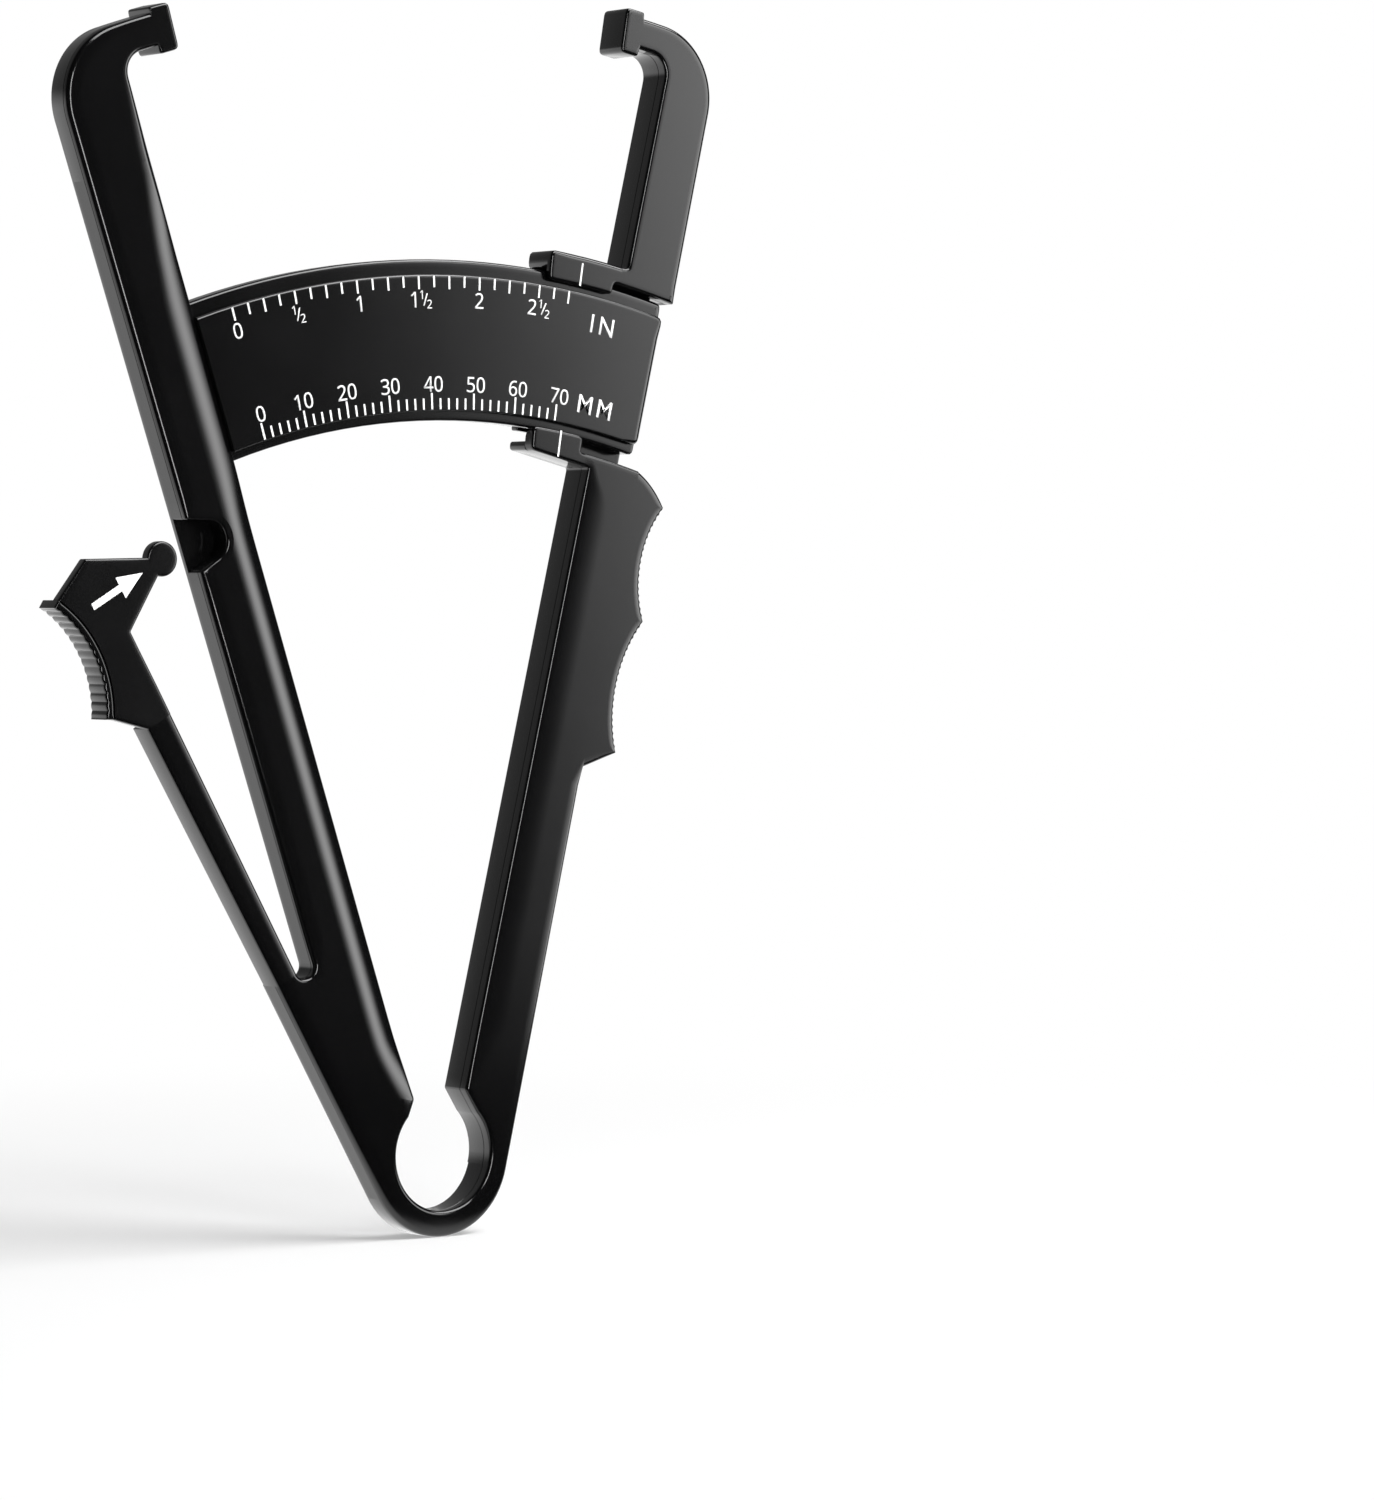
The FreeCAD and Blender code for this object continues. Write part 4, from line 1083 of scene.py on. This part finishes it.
def right_jaw_rim():
    """The right jaw, from the arm's joint round the shoulder to the contact pad."""
    pad_lean = RIGHT_CONTACT - PAD_ANGLE
    inside, outside = over_edge(UPPER_INNER_EDGE), over_edge(UPPER_OUTER_EDGE)
    crook_centre, crook_arm, crook_neck = rounding(RIGHT_INNER, CROOK, NECK_INNER, -1, -1)
    turn_centre, turn_arm, turn_neck = rounding(UPPER_OUTER, RIGHT_SHOULDER, NECK_OUTER, -1, -1)
    neck_in, neck_out = spot(pad_lean, NECK_INNER, 0), spot(pad_lean, NECK_OUTER, 0)
    return Rim(
        (line(RIGHT_CUT_OUTER, turn_arm), outside),
        (sweep(turn_centre, turn_arm, turn_neck), outside),
        (sweep(0, turn_neck, neck_out), outside),
        (neck_out, JOINT),
        (sweep(0, neck_in, crook_neck), inside),
        (sweep(crook_centre, crook_neck, crook_arm), inside),
        (line(crook_arm, RIGHT_CUT_INNER), inside),
        (RIGHT_CUT_INNER, JOINT),
    )


# ---- Outlines of the trigger ----
def lever_rim(low, high):
    """A length of the lever between two stations."""
    low_in, low_out = trigger_width(low)
    high_in, high_out = trigger_width(high)
    return Rim(
        (low_out, JOINT),
        (line(low_in, high_in, step=0.8), LEVER_EDGE),
        (high_in, JOINT),
        (line(high_out, low_out, step=0.8), LEVER_EDGE),
    )


def trigger_head_rim():
    """The thin web between the lever and the thumb pad, with the round tip that it runs into."""
    heel_in, heel_out = trigger_width(HEEL)
    neck = trigger_width(NECK)[0]
    waist, peak = spot(TRIGGER_LEAN, *WAIST), spot(TRIGGER_LEAN, *PEAK)
    chin = circle_entry(waist, spot(TRIGGER_LEAN, *CHIN))
    crown = circle_entry(peak, spot(TRIGGER_LEAN, *CROWN))
    far = on_circle(BALL_POINT, BALL_RADIUS, 2 * BALL_POINT - (chin + crown) / 2)
    return Rim(
        (heel_out, JOINT),
        (line(heel_in, neck), WEB_EDGE),
        (line(neck, waist), WEB_EDGE),
        (line(waist, chin), WEB_EDGE),
        (sweep(BALL_POINT, chin, far, step=0.2), WEB_EDGE),
        (sweep(BALL_POINT, far, crown, step=0.2), WEB_EDGE),
        (line(crown, peak), WEB_EDGE),
        (line(peak, BACK_HIGH), WEB_EDGE),
        (sweep(THUMB_CENTRE, BACK_HIGH, BACK_MIDDLE), JOINT),
        (sweep(THUMB_CENTRE, BACK_MIDDLE, BACK_LOW), JOINT),
        (line(BACK_LOW, heel_out), WEB_EDGE),
        ease=0.25, blend=0.8,
    )


def thumb_pad_rim():
    """The curved flange with rounded ridges across its face."""
    low, high = thumb_point(PAD_RADIUS, PAD_LOW_TURN), thumb_point(PAD_RADIUS, PAD_HIGH_TURN)
    rim = Rim(
        (sweep(THUMB_CENTRE, low, high, step=0.09), THUMB_EDGE),
        (high, THUMB_EDGE),
        (sweep(THUMB_CENTRE, BACK_HIGH, BACK_MIDDLE), THUMB_EDGE),
        (sweep(THUMB_CENTRE, BACK_MIDDLE, BACK_LOW), THUMB_EDGE),
        (BACK_LOW, THUMB_EDGE),
        ease=0.15, blend=0.3, turning=0.35,
    )
    pitch = math.radians(PAD_HIGH_TURN - PAD_LOW_TURN) * PAD_RADIUS / sizes().ridge_count
    rim.cut_ridges(THUMB_CENTRE, PAD_RADIUS, low, pitch, sizes().ridge_depth, 1)
    return rim


# ---- Printed numbers ----
def digit_font():
    """The plain sans serif digits that come with Blender."""
    folder = os.path.join(bpy.utils.system_resource("DATAFILES"), "fonts")
    path = os.path.join(folder, "NotoSansHebrew-Regular.woff2")
    return bpy.data.fonts.load(path, check_existing=True)


def print_text(name, words, lean, radius, height):
    """Flat printed characters: the glyphs' box is centred on the radius and turned to the lean."""
    curve = bpy.data.curves.new(name, "FONT")
    curve.body = words
    if not words.isalpha():
        curve.font = digit_font()
    curve.offset = STROKE_WEIGHT
    holder = bpy.data.objects.new(name, curve)
    bpy.context.scene.collection.objects.link(holder)
    bpy.context.view_layer.update()
    mesh = bpy.data.meshes.new_from_object(holder)
    bpy.data.objects.remove(holder)
    glyph = np.empty(len(mesh.vertices) * 3)
    mesh.vertices.foreach_get("co", glyph)
    glyph = glyph.reshape(-1, 3)
    low, high = glyph.min(axis=0), glyph.max(axis=0)
    scale = height / (high[1] - low[1])
    middle = (low + high) / 2
    across = (glyph[:, 0] - middle[0]) * scale
    rise = (glyph[:, 1] - middle[1]) * scale
    return mesh, (across + 1j * (rise + radius)) * turn(lean) + HINGE


def print_mark(name, glyphs):
    """One printed piece of flat glyphs, thickened back to the plate's face.

    glyphs are pairs of a mesh and the places of its corners in the outline's plane.
    """
    work = bmesh.new()
    for mesh, places in glyphs:
        corners = corners_of(places, np.full(len(places), PRINT_FRONT))
        mesh.vertices.foreach_set("co", corners.ravel())
        mesh.update()
        work.from_mesh(mesh)
        bpy.data.meshes.remove(mesh)
    bmesh.ops.remove_doubles(work, verts=work.verts, dist=DEGENERATE)
    grown = bmesh.ops.extrude_face_region(work, geom=work.faces[:], use_keep_orig=True)
    moved = [item for item in grown["geom"] if isinstance(item, bmesh.types.BMVert)]
    bmesh.ops.translate(work, verts=moved, vec=(0, -PRINT_FRONT * MM, 0))
    bmesh.ops.recalc_face_normals(work, faces=work.faces)
    result = bpy.data.meshes.new(name)
    work.to_mesh(result)
    work.free()
    return place(name, result, finish("white_print"), "left_half")


def label(name, words, lean, radius, height):
    """A printed number or unit on the plate."""
    return print_mark(name, [print_text(name, words, lean, radius, height)])


def half_label(name, whole, lean):
    """A number of inches and a half: a small 1 raised, a stroke, and a small 2 lowered."""
    height = sizes().numeral_height
    radius, shift = INCH_NUMERAL_RADIUS, SMALL_DIGIT_SHIFT
    per_mm = math.degrees(1 / radius)
    glyphs = []
    right = 0.0
    if whole:
        glyphs.append(print_text(name, whole, lean + WHOLE_TURN, radius, height))
        right = WHOLE_SHIFT
    for sign, across, up, share in (("1", right - shift, shift, SMALL_DIGIT),
                                    ("/", right, 0, SLASH),
                                    ("2", right + shift, -shift, SMALL_DIGIT)):
        glyphs.append(print_text(name, sign, lean - across * per_mm, radius + up, height * share))
    return print_mark(name, glyphs)


# ---- Operators ----
class CALIPER_OT_left_arm(bpy.types.Operator):
    """Build the left arm and its jaw"""
    bl_idname = "caliper.left_arm"
    bl_label = "Left Arm"

    def execute(self, context):
        black = finish("moulded_black")
        front, back = left_arm_rim(True), squared(left_arm_rim(False), POCKET_CROWN)
        moulding("left_arm", "left_half", [
            (front, shell_rows(front, FRONT, NOTCH_FLOOR, 0, LEFT_SEAM)),
            (back, shell_rows(back, NOTCH_FLOOR, LEFT_BACK)),
        ], black)
        jaw = left_jaw_rim()
        rows = shell_rows(jaw, FRONT, LEFT_BACK, seam=LEFT_SEAM)
        moulding("left_jaw", "left_half", [(jaw, rows)], black)
        return {"FINISHED"}


class CALIPER_OT_contact_pads(bpy.types.Operator):
    """Build the two contact pads"""
    bl_idname = "caliper.contact_pads"
    bl_label = "Contact Pads"

    def execute(self, context):
        for side, contact, outward in (("left", LEFT_CONTACT, 1), ("right", RIGHT_CONTACT, -1)):
            rim = contact_pad_rim(contact, contact + outward * PAD_ANGLE)
            moulding(side + "_contact_pad", side + "_half",
                     [(rim, shell_rows(rim, FRONT, ARM_BACK))], finish("moulded_black"))
        return {"FINISHED"}


class CALIPER_OT_scale_plate(bpy.types.Operator):
    """Build the curved scale plate"""
    bl_idname = "caliper.scale_plate"
    bl_label = "Scale Plate"

    def execute(self, context):
        face, rail = scale_face_rim(), scale_rail_rim()
        moulding("scale_plate", "left_half", [
            (face, shell_rows(face, FRONT, RAIL_FRONT, 0)),
            (rail, shell_rows(rail, RAIL_FRONT, PLATE_BACK)),
        ], finish("moulded_black"))
        return {"FINISHED"}


class CALIPER_OT_printed_scale(bpy.types.Operator):
    """Print the lines, numbers and units"""
    bl_idname = "caliper.printed_scale"
    bl_label = "Printed Scale"

    def execute(self, context):
        for node in ("mm_graduations", "inch_graduations", "lower_index_mark",
                     "upper_index_mark", "arrow_mark"):
            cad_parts[node].data.materials.clear()
            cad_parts[node].data.materials.append(finish("white_print"))
        size = sizes()
        for reading in range(0, LAST_READING + 1, NUMBER_EVERY):
            lean = ZERO_LEAN - reading * DEGREES_PER_MM + MM_NUMERAL_TURN
            label("number_mm_%02d" % reading, str(reading), lean, MM_NUMERAL_RADIUS,
                  size.numeral_height)
        for inches in range(WHOLE_INCHES):
            name, words = "number_inch_%d" % inches, str(inches)
            lean = ZERO_LEAN - inches * MM_PER_INCH * DEGREES_PER_MM
            label(name, words, lean, INCH_NUMERAL_RADIUS, size.numeral_height)
            half = lean - MM_PER_INCH / 2 * DEGREES_PER_MM
            half_label(name + "_half", words if inches else "", half)
        for name, letter, lean, radius in UNIT_LETTERS:
            label(name, letter, lean, radius, size.unit_height)
        return {"FINISHED"}


class CALIPER_OT_ring(bpy.types.Operator):
    """Build the springy lower half of the ring"""
    bl_idname = "caliper.ring"
    bl_label = "Ring"

    def execute(self, context):
        rim = ring_rim()
        share = (rim.points - LEFT_TANGENT).real / (RIGHT_TANGENT - LEFT_TANGENT).real
        share = np.clip(share, 0, 1)
        back = LEFT_BACK + (ARM_BACK - LEFT_BACK) * share
        seam = LEFT_SEAM + (RIGHT_SEAM - LEFT_SEAM) * share
        name = "ring_flexure_moulding"
        mesh = shell_mesh(name, [(rim, shell_rows(rim, FRONT, back, seam=seam))])
        piece = place(name, mesh, finish("moulded_black"), nodes=["ring_flexure"])
        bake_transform(piece)
        return {"FINISHED"}


class CALIPER_OT_right_arm(bpy.types.Operator):
    """Build the right arm with its finger grip and jaw"""
    bl_idname = "caliper.right_arm"
    bl_label = "Right Arm"

    def execute(self, context):
        for node, rim in (("right_lower_arm", right_lower_arm_rim()),
                          ("finger_grip", finger_grip_rim()),
                          ("right_upper_arm", right_upper_arm_rim()),
                          ("right_jaw", right_jaw_rim())):
            rows = shell_rows(rim, FRONT, ARM_BACK, seam=RIGHT_SEAM)
            moulding(node, "right_half", [(rim, rows)], finish("moulded_black"))
        return {"FINISHED"}


class CALIPER_OT_slide(bpy.types.Operator):
    """Build the two index tabs and the bridge between them"""
    bl_idname = "caliper.slide"
    bl_label = "Slide"

    def execute(self, context):
        black = finish("moulded_black")
        lip, block = lower_tab_rim(LOWER_LIP, False), squared(lower_tab_rim(LOWER_BLOCK, False))
        tail = squared(lower_tab_rim(LOWER_BLOCK, True))
        moulding("lower_index_tab", "right_half", [
            (lip, shell_rows(lip, FRONT, LIP_BACK, 0)),
            (block, shell_rows(block, LIP_BACK, TAB_LIP_BACK, 0)),
            (tail, shell_rows(tail, TAB_LIP_BACK, ARM_BACK)),
        ], black)
        lip, block = upper_tab_rim(UPPER_LIP), squared(upper_tab_rim(UPPER_BLOCK))
        moulding("upper_index_tab", "right_half", [
            (lip, shell_rows(lip, FRONT, LIP_BACK, 0)),
            (block, shell_rows(block, LIP_BACK, ARM_BACK)),
        ], black)
        rim = bridge_rim()
        rows = shell_rows(rim, BRIDGE_FRONT, ARM_BACK)
        moulding("slide_bridge", "right_half", [(rim, rows)], black)
        return {"FINISHED"}


class CALIPER_OT_trigger(bpy.types.Operator):
    """Build the thumb trigger"""
    bl_idname = "caliper.trigger"
    bl_label = "Trigger"

    def execute(self, context):
        black, web = finish("moulded_black"), finish("web_black")
        tip = ROOT_ALONG + FLEXURE_LENGTH
        rim = lever_rim(ROOT_ALONG, tip)
        name = "trigger_flexure_moulding"
        mesh = shell_mesh(name, [(rim, shell_rows(rim, FRONT, TRIGGER_BACK))])
        piece = place(name, mesh, black, nodes=["trigger_flexure"])
        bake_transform(piece)
        lever, head, pad = lever_rim(tip, HEEL), trigger_head_rim(), thumb_pad_rim()
        rows = shell_rows(lever, FRONT, TRIGGER_BACK)
        moulding("trigger_lever", "trigger", [(lever, rows)], black)
        rows = shell_rows(head, FRONT, WEB_BACK, back_edge=0.2)
        moulding("trigger_head", "trigger", [(head, rows)], web, ["detent_ball"])
        rows = shell_rows(pad, FRONT, TRIGGER_BACK, back_edge=0.15)
        moulding("thumb_pad", "trigger", [(pad, rows)], black)
        return {"FINISHED"}


# ---- Studio ----
def lamp(name, place_at, target, size, radiance, roll):
    """A soft box, rolled about its own axis. A lamp's power is pi times its area times the
    radiance wanted. A rolled box is brightest along its middle: strength = sin(pi u) squared,
    where u goes from 0 to 1 across its width."""
    light = bpy.data.lights.new(name, "AREA")
    light.shape = "RECTANGLE"
    light.size, light.size_y = size
    light.energy = math.pi * size[0] * size[1] * radiance
    if roll:
        light.use_nodes = True
        tree = light.node_tree
        on_box = tree.nodes.new("ShaderNodeNewGeometry").outputs["Parametric"]
        across = calculate(tree, "MULTIPLY", coordinates(tree, on_box)["X"], math.pi)
        strength = calculate(tree, "POWER", calculate(tree, "SINE", across), 2.0)
        feed(tree, tree.nodes["Emission"], {"Strength": strength})
    holder = bpy.data.objects.new(name, light)
    holder.location = place_at
    aim = np.subtract(place_at, target)
    reach = math.hypot(aim[0], aim[1])
    facing = Euler((math.atan2(reach, aim[2]), 0, math.atan2(aim[0], -aim[1]))).to_matrix()
    holder.rotation_euler = (facing @ Matrix.Rotation(roll, 3, "Z")).to_euler()
    bpy.context.scene.collection.objects.link(holder)


def around(azimuth, elevation, distance):
    """A place at an azimuth to the right of the front, an elevation and a distance."""
    a, e = math.radians(azimuth), math.radians(elevation)
    return (distance * math.sin(a) * math.cos(e), -distance * math.cos(a) * math.cos(e),
            MIDDLE_HEIGHT + distance * math.sin(e))


def choose(tree, share, first, second):
    """A mix of two shaders: the first at share 0 and the second at 1."""
    mix = feed(tree, tree.nodes.new("ShaderNodeMixShader"), {0: share, 1: first, 2: second})
    return mix.outputs[0]


class CALIPER_OT_studio(bpy.types.Operator):
    """Set up the floor, the lamps and the camera"""
    bl_idname = "caliper.studio"
    bl_label = "Studio"

    def execute(self, context):
        scene = context.scene
        table = FLOOR_RADIUS * np.exp(2j * np.pi * np.arange(FLOOR_SIDES) / FLOOR_SIDES)
        height = np.full(FLOOR_SIDES, CAD_BOX[0][2])
        corners = np.stack([table.real, table.imag, height], axis=1)
        mesh = bpy.data.meshes.new("studio_floor")
        mesh.from_pydata(corners.tolist(), [], [list(range(FLOOR_SIDES))])
        mesh.materials.append(self.floor_material(scene.caliper_finish.floor))
        floor = bpy.data.objects.new("studio_floor", mesh)
        scene.collection.objects.link(floor)
        for name, where, size, radiance, roll in LAMPS:
            lamp(name, around(*where), (0, 0, MIDDLE_HEIGHT), size, radiance, roll)
        self.world(scene)
        camera = bpy.data.cameras.new("camera")
        camera.sensor_fit = "VERTICAL"
        camera.sensor_height = camera.sensor_width = SENSOR
        camera.lens = LENS
        camera.clip_start, camera.clip_end = CLIP
        holder = bpy.data.objects.new("camera", camera)
        holder.location = CAMERA_PLACE
        holder.rotation_euler = (math.radians(90 - CAMERA_ELEVATION), 0,
                                 math.radians(-CAMERA_AZIMUTH))
        scene.collection.objects.link(holder)
        scene.camera = holder
        scene.view_settings.view_transform = "Standard"
        return {"FINISHED"}

    def floor_material(self, colour):
        """A pale floor that fades to white for the camera and keeps its shadow. Reflections see a
        painted glow in its place: an emission that is dark in front of the object and glows white
        behind it."""
        material = bpy.data.materials.new("studio_floor")
        material.use_nodes = True
        tree = material.node_tree
        new = tree.nodes.new
        pale = feed(tree, tree.nodes["Principled BSDF"], {
            "Base Color": (*colour, 1), "Roughness": FLOOR_ROUGHNESS,
            "Specular IOR Level": FLOOR_SPECULAR})
        rays = new("ShaderNodeLightPath").outputs
        on_floor = new("ShaderNodeTexCoord").outputs["Object"]
        level, far = new("ShaderNodeVectorMath"), new("ShaderNodeVectorMath")
        level.operation, far.operation = "MULTIPLY", "LENGTH"
        feed(tree, level, {0: on_floor, 1: (1, 1, 0)})
        feed(tree, far, {0: level.outputs[0]})
        fade = smooth_ramp(tree, far.outputs["Value"], *FLOOR_FADE)
        share = calculate(tree, "MULTIPLY", rays["Is Camera Ray"], fade)
        white = feed(tree, new("ShaderNodeEmission"), {"Color": (1, 1, 1, 1)})
        seen = choose(tree, share, pale.outputs[0], white.outputs[0])
        # Painted reflection: glossy rays see an emission, dark in front of the object and glowing
        # up to 1.55 behind it, instead of the lit floor
        glow = smooth_ramp(tree, coordinates(tree, on_floor)["Y"], *FLOOR_REFLECTION_GLOW)
        reflection_glow = feed(tree, new("ShaderNodeEmission"), {"Strength": glow})
        whole = choose(tree, rays["Is Glossy Ray"], seen, reflection_glow.outputs[0])
        feed(tree, tree.nodes["Material Output"], {"Surface": whole})
        return material

    def world(self, scene):
        """White to the camera. To the object it is white behind and below, and dim in front
        and above: one ramp rises with the direction's depth, and one falls with its height."""
        scene.world = bpy.data.worlds.new("studio_world")
        scene.world.use_nodes = True
        tree = scene.world.node_tree
        new = tree.nodes.new
        way = coordinates(tree, new("ShaderNodeTexCoord").outputs["Generated"])
        both = calculate(tree, "MULTIPLY", smooth_ramp(tree, way["Y"], *SKY_BY_DEPTH),
                         smooth_ramp(tree, way["Z"], *SKY_BY_HEIGHT))
        camera_ray = new("ShaderNodeLightPath").outputs["Is Camera Ray"]
        seen = feed(tree, new("ShaderNodeMix"), {"Factor": camera_ray, "A": both, "B": 1.0})
        feed(tree, tree.nodes["Background"], {"Color": (1, 1, 1, 1),
                                              "Strength": seen.outputs["Result"]})


class CALIPER_PT_panel(bpy.types.Panel):
    """Lists the caliper's sizes, finishes and steps"""
    bl_label = "Skinfold Caliper"
    bl_idname = "CALIPER_PT_panel"
    bl_space_type = "VIEW_3D"
    bl_region_type = "UI"
    bl_category = "Caliper"

    def draw(self, context):
        for group in (context.scene.caliper_sizes, context.scene.caliper_finish):
            box = self.layout.box()
            for name in group.__annotations__:
                box.prop(group, name)
        for step in STEPS:
            self.layout.operator(step.bl_idname)


STEPS = (
    CALIPER_OT_left_arm, CALIPER_OT_contact_pads, CALIPER_OT_scale_plate,
    CALIPER_OT_printed_scale, CALIPER_OT_ring, CALIPER_OT_right_arm, CALIPER_OT_slide,
    CALIPER_OT_trigger, CALIPER_OT_studio)
CLASSES = (CaliperSizes, CaliperFinish, *STEPS, CALIPER_PT_panel)


def register():
    """Register the classes and put the settings on the scene."""
    for item in CLASSES:
        bpy.utils.register_class(item)
    bpy.types.Scene.caliper_sizes = PointerProperty(type=CaliperSizes)
    bpy.types.Scene.caliper_finish = PointerProperty(type=CaliperFinish)


def unregister():
    """Take the settings off the scene and unregister the classes."""
    del bpy.types.Scene.caliper_finish
    del bpy.types.Scene.caliper_sizes
    for item in reversed(CLASSES):
        bpy.utils.unregister_class(item)


def main():
    """Build every piece and the studio."""
    register()
    bpy.ops.caliper.left_arm()
    bpy.ops.caliper.contact_pads()
    bpy.ops.caliper.scale_plate()
    bpy.ops.caliper.printed_scale()
    bpy.ops.caliper.ring()
    bpy.ops.caliper.right_arm()
    bpy.ops.caliper.slide()
    bpy.ops.caliper.trigger()
    bpy.ops.caliper.studio()


if __name__ == "__main__":
    main()
